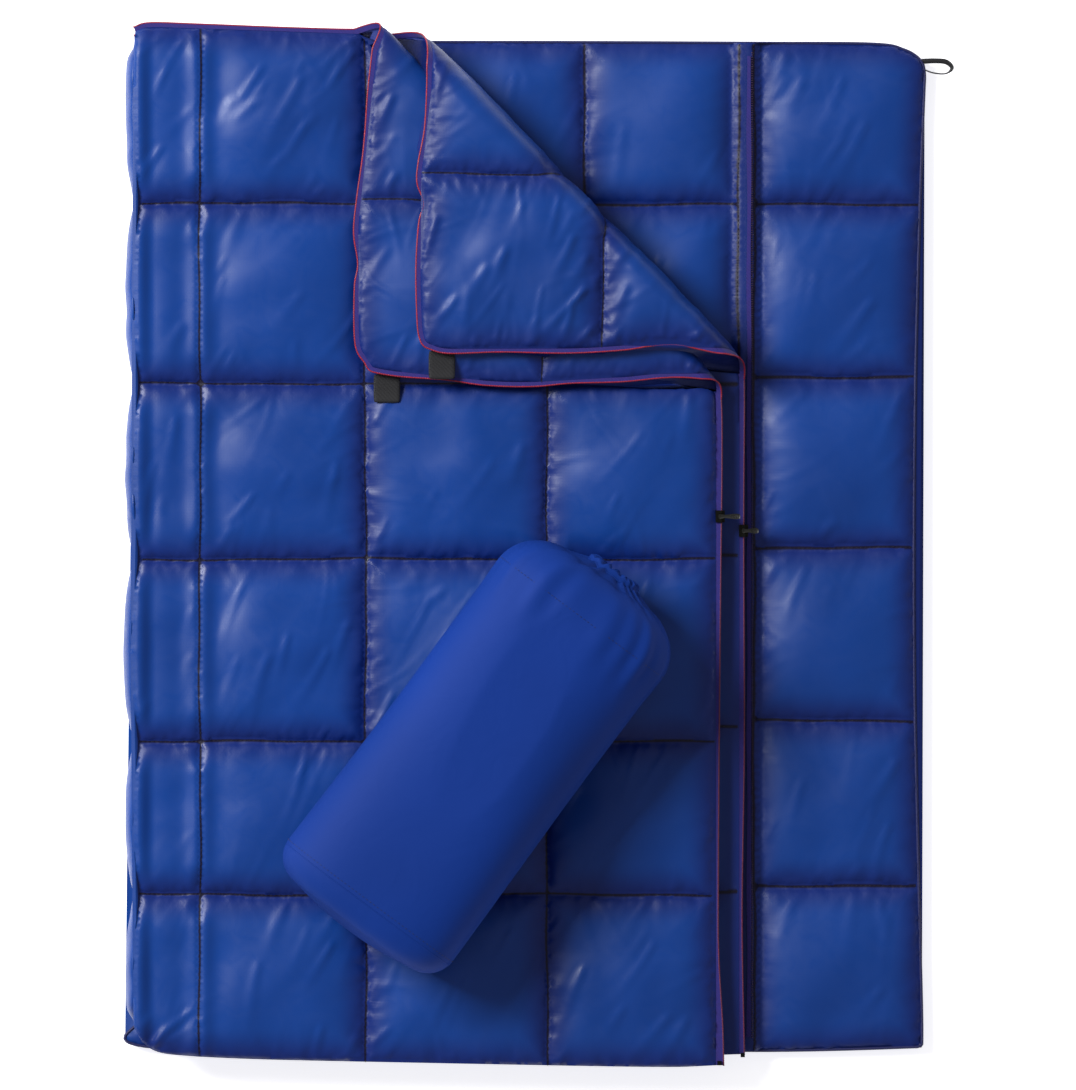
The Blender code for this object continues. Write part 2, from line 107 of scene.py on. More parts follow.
class BagQuilting(bpy.types.PropertyGroup):
    """Sizes of the puffed cloth."""

    cover_puff: bpy.props.FloatProperty(
        name="Cover puff", description="Height of the outer cover's squares above its seams",
        default=0.030, min=0.005, max=0.06, unit="LENGTH")
    inner_puff: bpy.props.FloatProperty(
        name="Inner puff", description="Height of the inner cover's squares above its seams",
        default=0.015, min=0.004, max=0.05, unit="LENGTH")
    back_puff: bpy.props.FloatProperty(
        name="Back puff", description="Height of the back quilt's squares above its seams",
        default=0.032, min=0.005, max=0.06, unit="LENGTH")
    outer_step: bpy.props.FloatProperty(
        name="Outer step", description="Spacing of the outer cover's cloth points",
        default=0.0065, min=0.004, max=0.03, unit="LENGTH")
    back_step: bpy.props.FloatProperty(
        name="Back step", description="Spacing of the back quilt's cloth points",
        default=0.008, min=0.004, max=0.03, unit="LENGTH")
    inner_step: bpy.props.FloatProperty(
        name="Inner step", description="Spacing of the inner cover's cloth points",
        default=0.011, min=0.004, max=0.03, unit="LENGTH")
    corner_step: bpy.props.FloatProperty(
        name="Corner step", description="Spacing of the folded corners' cloth points",
        default=0.0055, min=0.003, max=0.03, unit="LENGTH")
    spare_cloth: bpy.props.FloatProperty(
        name="Spare cloth", description="Share by which the shell is longer than its seams",
        default=0.05, min=0.0, max=0.2, subtype="FACTOR")
    puckers: bpy.props.FloatProperty(
        name="Puckers", description="Creases that run out of each metre of seam",
        default=26.0, min=0.0, max=200.0)
    drapes: bpy.props.FloatProperty(
        name="Drapes", description="Long slanting creases on each square metre",
        default=95.0, min=0.0, max=300.0)
    cloth_frames: bpy.props.IntProperty(
        name="Cloth frames", description="Steps the cloth takes to settle", default=18, min=2, max=60)


class BagTrim(bpy.types.PropertyGroup):
    """Sizes of zips, stitches and webbing."""

    tooth_pitch: bpy.props.FloatProperty(
        name="Tooth pitch", description="Distance between turns of the coil",
        default=0.0042, min=0.001, max=0.02, unit="LENGTH")
    stitch_pitch: bpy.props.FloatProperty(
        name="Stitch pitch", description="Distance between quilting stitches",
        default=0.008, min=0.002, max=0.03, unit="LENGTH")
    stitch_length: bpy.props.FloatProperty(
        name="Stitch length", description="Length of one quilting stitch",
        default=0.0055, min=0.001, max=0.02, unit="LENGTH")
    thread_width: bpy.props.FloatProperty(
        name="Thread width", description="Thickness of the quilting thread",
        default=0.0009, min=0.0002, max=0.004, unit="LENGTH")


class BagColours(bpy.types.PropertyGroup):
    """sRGB hex colours."""

    shell: bpy.props.StringProperty(
        name="Shell", description="Lit face of the taffeta", default="#0a3c89")
    # Painted shade: the deep purple-blue that the taffeta is mixed towards near its seams and sewn edges,
    # where the hollows lie in shade.
    painted_valley_shade: bpy.props.StringProperty(
        name="Valley", description="Taffeta pressed down along the seams", default="#0d1258")
    # Painted shade: this near-black is painted along every line of stitching on the taffeta, for the shade in
    # the bottom of each seam; the thread also takes it as its own colour.
    seam: bpy.props.StringProperty(
        name="Seam", description="Taffeta in the bottom of a seam", default="#070322")
    sheen: bpy.props.StringProperty(
        name="Sheen", description="Pale bloom on the taffeta where it turns away", default="#8f9be0")
    sack: bpy.props.StringProperty(name="Sack", description="Stuff sack cloth", default="#0e3384")
    coil: bpy.props.StringProperty(name="Coil", description="Red zip coil and piping", default="#8c162a")
    tape: bpy.props.StringProperty(name="Tape", description="Zip tape beside the coil", default="#24187a")
    binding: bpy.props.StringProperty(
        name="Binding", description="Bound edge of the back quilt", default="#0a1456")
    webbing: bpy.props.StringProperty(name="Webbing", description="Black webbing and tabs", default="#07080e")
    zinc: bpy.props.StringProperty(name="Zinc", description="Blackened slider metal", default="#1c1d18")
    pull: bpy.props.StringProperty(name="Pull", description="Moulded pull tab", default="#141510")
    floor: bpy.props.StringProperty(name="Floor", description="Studio floor", default="#f7f7f8")


# ---------------------------------------------------------------- frame places

def joint(name):
    return next(j for j in frame["joints"] if j["name"] == name)


class Cover:
    """Places of one cover and its folded corner, read from the frame.

    roll_inset and roll_bulge each hold a value for the fold's side end and one for its head end.
    """

    def __init__(self, name, columns, rows, edge, hem, roll_inset, roll_bulge):
        self.name = name
        self.columns = columns
        self.rows = rows
        self.edge = edge
        self.hem = hem                    # how far the foot is drawn up
        self.roll_inset = roll_inset      # from the fold line in to where the cloth starts to bend
        self.roll_bulge = roll_bulge      # how far the bend stands past the fold line
        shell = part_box(name + "_cover_shell")
        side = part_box(name + "_side_coil")
        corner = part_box(name + "_corner_coil")
        fold = joint(name + "_corner_fold")
        self.left = shell[0][0]
        self.foot = shell[0][1]
        self.right = side[1][0]
        self.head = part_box(name + "_head_coil")[1][1]
        self.mid = (side[0][2] + side[1][2]) / 2
        self.corner_mid = (corner[0][2] + corner[1][2]) / 2
        self.fold_point = np.array(fold["pos_m"][:2])
        self.normal = np.array((fold["axis"][1], -fold["axis"][0]))
        rise = self.head - self.fold_point[1]
        run = self.right - self.fold_point[0]
        self.fold_on_head = np.array((self.fold_point[0] - rise * self.normal[1] / self.normal[0], self.head))
        self.fold_on_side = np.array((self.right, self.fold_point[1] - run * self.normal[0] / self.normal[1]))

    def over_fold(self, points):
        """How far flat points lie past the fold."""
        return (np.asarray(points) - self.fold_point) @ self.normal

    def turned(self, points):
        """Flat points after the corner is turned over."""
        points = np.asarray(points)
        return points - 2 * self.over_fold(points)[:, None] * self.normal

    def flat(self, points, lift):
        """Points of the cover at a height over its middle."""
        return np.column_stack([points, self.mid + lift * np.ones(len(points))])

    def up_fold(self, points):
        """How far along the fold each point is, from 0 at the side to 1 at the head."""
        along = self.fold_on_head - self.fold_on_side
        return np.clip((points - self.fold_on_side) @ along / (along @ along), 0, 1)

    def inset(self, points):
        start, end = self.roll_inset
        return start + (end - start) * self.up_fold(points)

    def bend(self, points):
        """How far round the fold each turned point is, from 0 on the corner to pi under it."""
        inset = self.inset(points)
        return np.clip((self.over_fold(points) + inset) / (2 * inset), 0, 1) * math.pi

    def wrapped(self, points, lift):
        """Turned points at a height over their middle, bent round the fold where they run past it."""
        over, turn, inset = self.over_fold(points), self.bend(points), self.inset(points)
        start, end = self.roll_bulge
        reach = inset + start + (end - start) * self.up_fold(points) ** 2
        half = (self.corner_mid - self.mid) / 2
        out, up = np.sin(turn) / reach, np.cos(turn) / half
        size = np.hypot(out, up)
        moved = np.minimum(over, -inset) + reach * np.sin(turn) + lift * out / size
        height = (self.corner_mid + self.mid) / 2 + half * np.cos(turn) + lift * up / size
        return np.column_stack([points + (moved - over)[:, None] * self.normal, height])


OUTER = Cover("outer", OUTER_COLUMNS, OUTER_ROWS, OUTER_EDGE, 0.0, (0.021, 0.030), (-0.004, 0.010))
INNER = Cover("inner", INNER_COLUMNS, INNER_ROWS, INNER_EDGE, 0.0055, (0.026, 0.046), (-0.006, -0.009))
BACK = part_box("back_binding")
BACK_MID = (BACK[0][2] + BACK[1][2]) / 2
LEFT = float(BACK[0][0])


def back_flat(points, lift):
    return np.column_stack([points, BACK_MID + lift * np.ones(len(points))])


# ---------------------------------------------------------------- materials

def linear(colour):
    """A linear RGBA colour from an sRGB hex value."""
    parts = [int(colour[i:i + 2], 16) / 255 for i in (1, 3, 5)]
    return (*[p / 12.92 if p <= 0.04045 else ((p + 0.055) / 1.055) ** 2.4 for p in parts], 1.0)


def add_node(tree, kind, settings=None, **inputs):
    """Add a node; settings are its properties, and inputs are values or sockets by input name or number."""
    node = tree.nodes.new(kind)
    for name, value in (settings or {}).items():
        setattr(node, name, value)
    for key, value in inputs.items():
        socket = node.inputs[int(key[1:])] if key[0] == "_" else node.inputs[key.replace("_", " ")]
        if isinstance(value, bpy.types.NodeSocket):
            tree.links.new(value, socket)
        else:
            socket.default_value = value
    return node


def blank_material(name, **values):
    """A Principled material with constant values set on the shader's own sockets."""
    material = bpy.data.materials.new(name)
    material.use_nodes = True
    tree = material.node_tree
    shader = tree.nodes["Principled BSDF"]
    for key, value in values.items():
        shader.inputs[key.replace("_", " ")].default_value = value
    return material, tree, shader


def colour_mix(tree, factor, first, second):
    return add_node(tree, "ShaderNodeMix", {"data_type": "RGBA"}, _0=factor, _6=first, _7=second).outputs[2]


def taffeta(name, colours, roughness):
    """Calendered polyester taffeta: a smooth, tightly woven shell with a soft gloss.

    It gives broad highlights on each puffed square, a pale bloom where it turns away, painted shade in a
    deeper, more purple blue towards the stitching and in a dark line along it, and short creases that run out
    of the stitched lines.
    """
    material, tree, shader = blank_material(
        name, IOR=1.5, Specular_IOR_Level=0.29, Sheen_Weight=0.02, Sheen_Roughness=0.4,
        Sheen_Tint=linear(colours.sheen))
    place = add_node(tree, "ShaderNodeTexCoord").outputs["Object"]
    seam = add_node(tree, "ShaderNodeAttribute", {"attribute_name": "seam"}).outputs["Fac"]
    along = add_node(tree, "ShaderNodeAttribute", {"attribute_name": "along"}).outputs["Fac"]
    sewn = add_node(tree, "ShaderNodeAttribute", {"attribute_name": "sewn"}).outputs["Fac"]
    patches = add_node(tree, "ShaderNodeTexNoise", Vector=place, Scale=3.1, Detail=3.0).outputs["Fac"]
    streaks = add_node(tree, "ShaderNodeTexNoise", Vector=place, Scale=22.0, Detail=5.0, Distortion=1.4)
    # Painted shade: the mask for mixing in the dark valley colour within 60 mm of each seam and sewn edge.
    painted_valley_shade = add_node(tree, "ShaderNodeMapRange", {"interpolation_type": "SMOOTHSTEP"},
                      Value=seam, From_Min=0.0, From_Max=0.8, To_Min=0.7, To_Max=0.0).outputs["Result"]
    # Painted shade: the mask for the near-black line painted along each line of stitching.
    line = add_node(tree, "ShaderNodeMapRange", {"interpolation_type": "SMOOTHSTEP"},
                    Value=sewn, From_Min=0.5, From_Max=0.9, To_Min=0.0, To_Max=1.0).outputs["Result"]
    worn = add_node(tree, "ShaderNodeMapRange", Value=patches, From_Min=0.35, From_Max=0.7,
                    To_Min=0.0, To_Max=0.5).outputs["Result"]
    lit = colour_mix(tree, worn, linear(colours.shell), linear("#072f72"))
    # Painted shade: the lit colour mixed towards the valley colour, then towards the near-black seam line.
    pressed = colour_mix(tree, painted_valley_shade, lit, linear(colours.painted_valley_shade))
    tree.links.new(colour_mix(tree, line, pressed, linear(colours.seam)), shader.inputs["Base Color"])
    rough = add_node(tree, "ShaderNodeMapRange", Value=streaks.outputs["Fac"], From_Min=0.3, From_Max=0.7,
                     To_Min=roughness - 0.05, To_Max=roughness + 0.09).outputs["Result"]
    tree.links.new(rough, shader.inputs["Roughness"])
    # Threads are 0.2 mm apart in the real cloth, too fine to show, so the weave is drawn at 1.4 mm.
    threads = [add_node(tree, "ShaderNodeTexWave", {"wave_type": "BANDS", "bands_direction": way},
                        Vector=place, Scale=0.314 / (1.4 * MM) / 2, Distortion=0.6, Detail=1.0)
               for way in "XY"]
    weave = add_node(tree, "ShaderNodeMath", {"operation": "ADD"},
                     _0=threads[0].outputs["Fac"], _1=threads[1].outputs["Fac"])
    fine = add_node(tree, "ShaderNodeBump", Strength=0.04, Distance=0.0004, Height=weave.outputs[0])
    # Gathers stand 16 mm apart along a seam and run some 45 mm out of it.
    across = add_node(tree, "ShaderNodeMath", {"operation": "MULTIPLY"}, _0=along, _1=1 / 0.016).outputs[0]
    outward_run = add_node(tree, "ShaderNodeMath", {"operation": "MULTIPLY"}, _0=seam, _1=1.3).outputs[0]
    spot = add_node(tree, "ShaderNodeCombineXYZ", X=across, Y=outward_run)
    gathers = add_node(tree, "ShaderNodeTexNoise", Vector=spot.outputs[0], Scale=1.0, Detail=2.0,
                       Roughness=0.6, Distortion=0.3)
    fade = add_node(tree, "ShaderNodeMapRange", {"interpolation_type": "SMOOTHSTEP"},
                    Value=seam, From_Min=0.05, From_Max=0.62, To_Min=1.0, To_Max=0.0).outputs["Result"]
    height = add_node(tree, "ShaderNodeMath", {"operation": "MULTIPLY"}, _0=gathers.outputs["Fac"], _1=fade)
    creased = add_node(tree, "ShaderNodeBump", Strength=0.17, Distance=0.0035, Height=height.outputs[0],
                       Normal=fine.outputs["Normal"])
    tree.links.new(creased.outputs["Normal"], shader.inputs["Normal"])
    return material


def sack_cloth(colour):
    """Uncoated polyester sack cloth: duller than the shell, drawn tight, with a faint plain weave."""
    material, tree, shader = blank_material(
        "woven polyester sack cloth", IOR=1.5, Roughness=0.66, Specular_IOR_Level=0.12)
    place = add_node(tree, "ShaderNodeTexCoord").outputs["Object"]
    broad = add_node(tree, "ShaderNodeTexNoise", Vector=place, Scale=2.4, Detail=2.0).outputs["Fac"]
    tone = add_node(tree, "ShaderNodeMapRange", Value=broad, From_Min=0.35, From_Max=0.7,
                    To_Min=0.0, To_Max=0.5).outputs["Result"]
    tree.links.new(colour_mix(tree, tone, linear(colour), linear("#0c2a6c")), shader.inputs["Base Color"])
    weave = add_node(tree, "ShaderNodeTexChecker", Vector=place, Scale=1 / (1.6 * MM))
    bump = add_node(tree, "ShaderNodeBump", Strength=0.05, Distance=0.0003, Height=weave.outputs["Fac"])
    crease = add_node(tree, "ShaderNodeTexNoise", Vector=place, Scale=14.0, Detail=4.0, Distortion=1.2)
    soft = add_node(tree, "ShaderNodeBump", Strength=0.16, Distance=0.006, Height=crease.outputs["Fac"],
                    Normal=bump.outputs["Normal"])
    tree.links.new(soft.outputs["Normal"], shader.inputs["Normal"])
    return material


def ribbed_cloth(name, colour, rib, roughness, strength=0.5):
    """Woven tape: ribs across its length catch a thin line of light each. rib is in metres."""
    material, tree, shader = blank_material(
        name, IOR=1.5, Roughness=roughness, Sheen_Weight=0.12, Sheen_Roughness=0.5)
    place = add_node(tree, "ShaderNodeTexCoord").outputs["Object"]
    ribs = add_node(tree, "ShaderNodeTexWave", {"wave_type": "BANDS", "bands_direction": "DIAGONAL"},
                    Vector=place, Scale=0.314 / rib / 2, Distortion=0.4)
    grain = add_node(tree, "ShaderNodeTexNoise", Vector=place, Scale=180.0, Detail=3.0).outputs["Fac"]
    dark = tuple(c * 0.55 for c in linear(colour)[:3]) + (1.0,)
    tree.links.new(colour_mix(tree, grain, dark, linear(colour)), shader.inputs["Base Color"])
    bump = add_node(tree, "ShaderNodeBump", Strength=strength, Distance=0.0005, Height=ribs.outputs["Fac"])
    tree.links.new(bump.outputs["Normal"], shader.inputs["Normal"])
    return material


def moulded(name, colour, roughness, metallic=0.0, ior=1.46):
    """Moulded nylon or blackened zinc: even colour, with a fine orange-peel and worn, smoother spots."""
    material, tree, shader = blank_material(name, Metallic=metallic, Roughness=roughness)
    if not metallic:
        shader.inputs["IOR"].default_value = ior
    place = add_node(tree, "ShaderNodeTexCoord").outputs["Object"]
    peel = add_node(tree, "ShaderNodeTexNoise", Vector=place, Scale=420.0, Detail=2.0).outputs["Fac"]
    wear = add_node(tree, "ShaderNodeTexNoise", Vector=place, Scale=90.0, Detail=4.0).outputs["Fac"]
    light = tuple(min(1.0, c * 1.7) for c in linear(colour)[:3]) + (1.0,)
    amount = add_node(tree, "ShaderNodeMapRange", Value=wear, From_Min=0.5, From_Max=0.75,
                      To_Min=0.0, To_Max=0.6).outputs["Result"]
    tree.links.new(colour_mix(tree, amount, linear(colour), light), shader.inputs["Base Color"])
    rough = add_node(tree, "ShaderNodeMapRange", Value=wear, From_Min=0.3, From_Max=0.7,
                     To_Min=roughness + 0.06, To_Max=roughness - 0.06).outputs["Result"]
    tree.links.new(rough, shader.inputs["Roughness"])
    bump = add_node(tree, "ShaderNodeBump", Strength=0.15, Distance=0.0003, Height=peel)
    tree.links.new(bump.outputs["Normal"], shader.inputs["Normal"])
    return material


def studio_floor(colour):
    """Backlit matt acrylic: its own even glow keeps the ground white and the shadows on it faint."""
    material, tree, shader = blank_material(
        "backlit white acrylic", Roughness=0.9, Specular_IOR_Level=0.1, Emission_Strength=0.7,
        Emission_Color=(1.0, 1.0, 1.0, 1.0))
    place = add_node(tree, "ShaderNodeTexCoord").outputs["Object"]
    mottle = add_node(tree, "ShaderNodeTexNoise", Vector=place, Scale=1.5, Detail=2.0).outputs["Fac"]
    amount = add_node(tree, "ShaderNodeMath", {"operation": "MULTIPLY"}, _0=mottle, _1=0.06).outputs[0]
    tree.links.new(colour_mix(tree, amount, linear(colour), linear("#e8e8ea")), shader.inputs["Base Color"])
    return material


MATERIALS = {}


def make_materials(colours):
    MATERIALS.update({
        "shell": taffeta("calendered taffeta shell", colours, 0.38),
        "lining": taffeta("calendered taffeta lining", colours, 0.42),
        "sack": sack_cloth(colours.sack),
        "coil": moulded("red nylon zip coil", colours.coil, 0.36, ior=1.53),
        # Painted shade: a darker maroon copy of the red coil for the covers' side runs, which lie in shade.
        "side_coil": moulded("maroon nylon zip coil", "#5a1232", 0.45, ior=1.53),
        # Painted shade: a near-black copy of the coil for the back quilt's half of the zip, which lies in the
        # covers' shade.
        "shaded_back_coil": moulded("dark nylon zip coil", "#2c0c2c", 0.5, ior=1.53),
        "tape": ribbed_cloth("woven zip tape", colours.tape, 1.6 * MM, 0.75),
        "binding": ribbed_cloth("grosgrain edge binding", colours.binding, 2.0 * MM, 0.6, 0.3),
        "webbing": ribbed_cloth("black nylon webbing", colours.webbing, 1.8 * MM, 0.7),
        "metal": moulded("blackened die-cast zinc", colours.zinc, 0.38, metallic=0.9),
        "pull": moulded("moulded acetal pull", colours.pull, 0.42, ior=1.48),
        "thread": ribbed_cloth("twisted polyester thread", colours.seam, 0.9 * MM, 0.7, 0.2),
        "floor": studio_floor(colours.floor),
    })


# ---------------------------------------------------------------- mesh tools

def mesh_object(name, points, faces, *finishes, smooth=True):
    """An object at the origin from world points, with its faces shaded and its finishes in slots."""
    mesh = bpy.data.meshes.new(name)
    mesh.from_pydata([tuple(map(float, p)) for p in points], [], [tuple(map(int, f)) for f in faces])
    mesh.polygons.foreach_set("use_smooth", [smooth] * len(mesh.polygons))
    for finish in finishes:
        mesh.materials.append(MATERIALS[finish])
    piece = bpy.data.objects.new(name, mesh)
    bpy.context.collection.objects.link(piece)
    return piece


def outward(piece, merge=1e-6):
    """Merge doubled points and turn every face out."""
    shape = bmesh.new()
    shape.from_mesh(piece.data)
    bmesh.ops.remove_doubles(shape, verts=shape.verts, dist=merge)
    bmesh.ops.recalc_face_normals(shape, faces=shape.faces)
    shape.to_mesh(piece.data)
    shape.free()
    return piece


def loft(name, rings, finish, closed=False, merge=0.0):
    """A smooth skin over rings of equally many points; open ends get a flat cap."""
    count, around = len(rings), len(rings[0])
    faces = []
    for i in range(count if closed else count - 1):
        a, b = i * around, (i + 1) % count * around
        faces += [(a + k, a + (k + 1) % around, b + (k + 1) % around, b + k) for k in range(around)]
    if not closed:
        faces += [tuple(range(around)), tuple((count - 1) * around + k for k in reversed(range(around)))]
    return outward(mesh_object(name, [p for ring in rings for p in ring], faces, finish), merge)


def hand_over(piece, body, slot, *nodes):
    """Put a finished piece on its body, in the place of CAD nodes. slot is not used."""
    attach(piece, body)
    if nodes:
        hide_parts(*nodes)
    return piece


def smooth_path(points, step, closed=False):
    """Points every step along a Catmull-Rom curve through the given ones."""
    points = [np.array(p, float) for p in points]
    if closed:
        padded = [points[-1], *points, points[0], points[1]]
    else:
        padded = [2 * points[0] - points[1], *points, 2 * points[-1] - points[-2]]
    dense = []
    for a, b, c, d in zip(padded, padded[1:], padded[2:], padded[3:]):
        for t in np.linspace(0, 1, 12, endpoint=False):
            dense.append(0.5 * (2 * b + (c - a) * t + (2 * a - 5 * b + 4 * c - d) * t * t
                                + (3 * b - a - 3 * c + d) * t ** 3))
    if not closed:
        dense.append(points[-1])
    return even(np.array(dense), step, closed)


def run_along(line):
    """Distance along a line to each of its points."""
    return np.concatenate([[0], np.cumsum(np.linalg.norm(np.diff(line, axis=0), axis=1))])


def even(points, step, closed=False):
    """The same path with its points a step apart."""
    line = np.vstack([points, points[:1]]) if closed else np.asarray(points)
    run = run_along(line)
    count = max(2, round(run[-1] / step))
    marks = np.linspace(0, run[-1], count + 1)
    found = np.stack([np.interp(marks, run, line[:, k]) for k in range(line.shape[1])], axis=1)
    return found[:-1] if closed else found


def beside(path, distance):
    """A path moved sideways to its left."""
    along = np.gradient(path, axis=0)
    along /= np.linalg.norm(along, axis=1)[:, None]
    return path + distance * np.stack([-along[:, 1], along[:, 0]], axis=1)


def inside(points, outline):
    """Whether each point is inside a closed outline."""
    hit = np.zeros(len(points), bool)
    for (x0, y0), (x1, y1) in zip(outline, np.roll(outline, -1, axis=0)):
        if y0 == y1:
            continue
        spans = (y0 > points[:, 1]) != (y1 > points[:, 1])
        hit ^= spans & (points[:, 0] < (x1 - x0) * (points[:, 1] - y0) / (y1 - y0) + x0)
    return hit


def tree_of(points):
    found = kdtree.KDTree(len(points))
    for i, p in enumerate(points):
        found.insert((p[0], p[1], 0.0), i)
    found.balance()
    return found


def distances(points, found):
    return np.array([found.find((p[0], p[1], 0.0))[2] for p in points])


# ---------------------------------------------------------------- paths of edges and seams

def closed_side(rows, head, foot, depth, shift=0.0):
    """The closed side from head to foot: drawn in at each row of stitching, rounded out between."""
    stops = [head, *rows, foot]
    points = []
    for number, (top, low) in enumerate(zip(stops, stops[1:])):
        share = depth * (1.0 if number == 3 else 0.72)
        start, end = (0.3 if number == 0 else 0.0), (0.7 if number == len(rows) else 1.0)
        for t in np.linspace(0, 1, 16, endpoint=False):
            x = LEFT + PINCH + shift - share * math.sin(math.pi * (start + (end - start) * t)) ** 0.8
            points.append((x, top + (low - top) * t))
    return points


def free_edge(cover, step, inset=0.0, steady=False):
    """A line inside a cover's free edge, in flat cloth: up the side, round the tip, and along the head.

    It is cut where the fold starts, into the side, the corner and the head. A steady side never wanders
    outwards, so the slider has room along it.
    """
    right, head = cover.right - COIL_CENTRE, cover.head - COIL_CENTRE
    foot = cover.foot + cover.hem
    rise, span = cover.fold_on_side[1], cover.fold_on_head[0]
    stop = cover.left + 0.023
    points = [(right + (min(out, 0.0) if steady else out), foot + (rise - foot) * t)
              for t, out in cover.edge["side"]]
    points += [(right + out, rise + (head - rise) * t) for t, out in cover.edge["low"]]
    for angle in (0.25, 0.8, 1.32):
        points.append((right - TIP_ROUND * (1 - math.cos(angle)), head - TIP_ROUND * (1 - math.sin(angle))))
    points += [(right - (right - span) * t, head + out) for t, out in cover.edge["tip"]]
    points += [(span - (span - stop) * t, head + out) for t, out in cover.edge["head"]]
    points.append((stop, head - 0.002))
    path = beside(smooth_path(points, step), inset)
    past = np.flatnonzero(cover.over_fold(path) >= -cover.inset(path))
    first, last = past[0], past[-1]
    start = crossing(cover, path[first - 1], path[first])
    end = crossing(cover, path[last], path[last + 1])
    return {"side": np.vstack([path[:first], start]), "corner": np.vstack([start, path[first:last + 1], end]),
            "head": np.vstack([end, path[last + 1:]])}


def crossing(cover, a, b):
    """Where the line from a to b meets the start of the fold."""
    here, there = cover.over_fold([a, b]) + cover.inset(np.array([a, b]))
    return a + (b - a) * here / (here - there)


def cover_outline(cover, step):
    """Outline of a cover's quilting up to where its corner folds."""
    edge = free_edge(cover, step, TAPE_INSIDE - COIL_CENTRE, steady=True)
    left = closed_side(cover.rows, cover.head - 0.035, cover.foot + 0.055, 0.016, 0.012)
    foot = cover.foot + cover.hem
    hem = [(LEFT + 0.038, foot + 0.044), (LEFT + 0.062, foot + 0.026), (LEFT + 0.11, foot + 0.018),
           (LEFT + 0.25, foot + 0.011), (LEFT + 0.52, foot + 0.005), (LEFT + 0.96, foot - 0.003),
           tuple(edge["side"][0])]
    return even(np.vstack([edge["side"], edge["head"], left, smooth_path(hem, step)[:-1]]), step, closed=True)


def corner_outline(cover, step):
    """Outline of the turned-over corner's quilting as it lies, with the strip that bends under it."""
    edge = free_edge(cover, step, TAPE_INSIDE - COIL_CENTRE)["corner"]
    return even(cover.turned(edge)[::-1], step, closed=True)


def back_outline(step):
    low, high = BACK
    right, head, foot = high[0] - 0.004, high[1] - 0.004, low[1] + 0.004
    points = closed_side(BACK_ROWS, head - 0.03, foot + 0.03, 0.014, 0.014)
    points += [(LEFT + 0.07, foot), (0.0, foot + 0.001), (0.40, foot - 0.005), (right - 0.03, foot + 0.001),
               (right - 0.004, foot + 0.006), (right + 0.002, foot + 0.03), (right - 0.004, -0.62),
               (right - 0.0125, -0.2), (right - 0.011, 0.25), (right - 0.002, 0.62),
               (right + 0.0055, head - 0.10), (right + 0.0065, head - 0.056),
               (right - 0.001, head - 0.033), (right - 0.031, head - 0.0135),
               (right - 0.091, head - 0.003), (0.38, head - 0.0015), (0.0, head), (-0.4, head),
               (LEFT + 0.07, head)]
    return smooth_path(points, step, closed=True)


def seam_lines(columns, rows, outline, step, place=None, skip=None):
    """Runs of stitching inside an outline, each slightly unsteady as a sewn line is."""
    low, high = outline.min(axis=0), outline.max(axis=0)
    reach = 1.2
    lines = []
    for number, value in enumerate([*columns, *rows]):
        upright = number < len(columns)
        t = np.arange(-reach, reach, step)
        drift = 0.0016 * np.sin(t * 9.0 + 2.1 * number) + 0.0009 * np.sin(t * 31.0 + number)
        line = np.stack([value + drift, t] if upright else [t, value + drift], axis=1)
        if place:
            line = place(line)
        keep = inside(line, outline)
        keep &= (line > low).all(axis=1) & (line < high).all(axis=1)
        if skip and not upright:
            keep &= (line[:, 0] < skip[0]) | (line[:, 0] > skip[1])
        for part in np.split(line, np.flatnonzero(np.diff(keep.astype(int))) + 1):
            if len(part) > 2 and inside(part[len(part) // 2][None], outline)[0] and (
                    not skip or upright or not skip[0] < part[len(part) // 2][0] < skip[1]):
                lines.append(part)
    return lines


# ---------------------------------------------------------------- puffed quilts

def lattice(outline, seams, step, coarse=1.0):
    """Even triangles inside an outline, with every seam on their edges."""
    fixed = [tuple(p) for p in outline]
    edges = [(i, (i + 1) % len(outline)) for i in range(len(outline))]
    for line in seams:
        first = len(fixed)
        fixed += [tuple(p) for p in line]
        edges += [(first + i, first + i + 1) for i in range(len(line) - 1)]
    low, high = outline.min(axis=0), outline.max(axis=0)
    spacing = step * coarse
    xs = np.arange(low[0], high[0], spacing)
    ys = np.arange(low[1], high[1], spacing * math.sqrt(3) / 2)
    gx, gy = np.meshgrid(xs, ys)
    gx = gx + (np.arange(len(ys)) % 2)[:, None] * spacing / 2
    free = np.stack([gx.ravel(), gy.ravel()], axis=1)
    free = free[inside(free, outline)]
    found = tree_of(fixed)
    free = free[distances(free, found) > 0.6 * step]
    made = delaunay_2d_cdt([Vector(p) for p in fixed] + [Vector(p) for p in free], edges, [], 1, 1e-7, False)
    flat = np.array([tuple(p) for p in made[0]])
    triangles = np.array([tuple(f) for f in made[2]])
    a, b, c = (flat[triangles[:, k]] for k in range(3))
    turn = (b[:, 0] - a[:, 0]) * (c[:, 1] - a[:, 1]) - (b[:, 1] - a[:, 1]) * (c[:, 0] - a[:, 0])
    triangles[turn < 0] = triangles[turn < 0][:, ::-1]
    return flat, triangles, distances(flat, found)


def calmed(values, triangles, weight, rounds):
    """Values evened out between neighbours, most where the weight is 1."""
    ends = np.concatenate([triangles[:, [0, 1]], triangles[:, [1, 2]], triangles[:, [2, 0]]])
    ends = np.concatenate([ends, ends[:, ::-1]])
    count = np.bincount(ends[:, 0], minlength=len(values))
    for _ in range(rounds):
        mean = np.stack([np.bincount(ends[:, 0], weights=values[ends[:, 1], k], minlength=len(values)) / count
                         for k in range(values.shape[1])], axis=1)
        values = values + (mean - values) * weight[:, None]
    return values


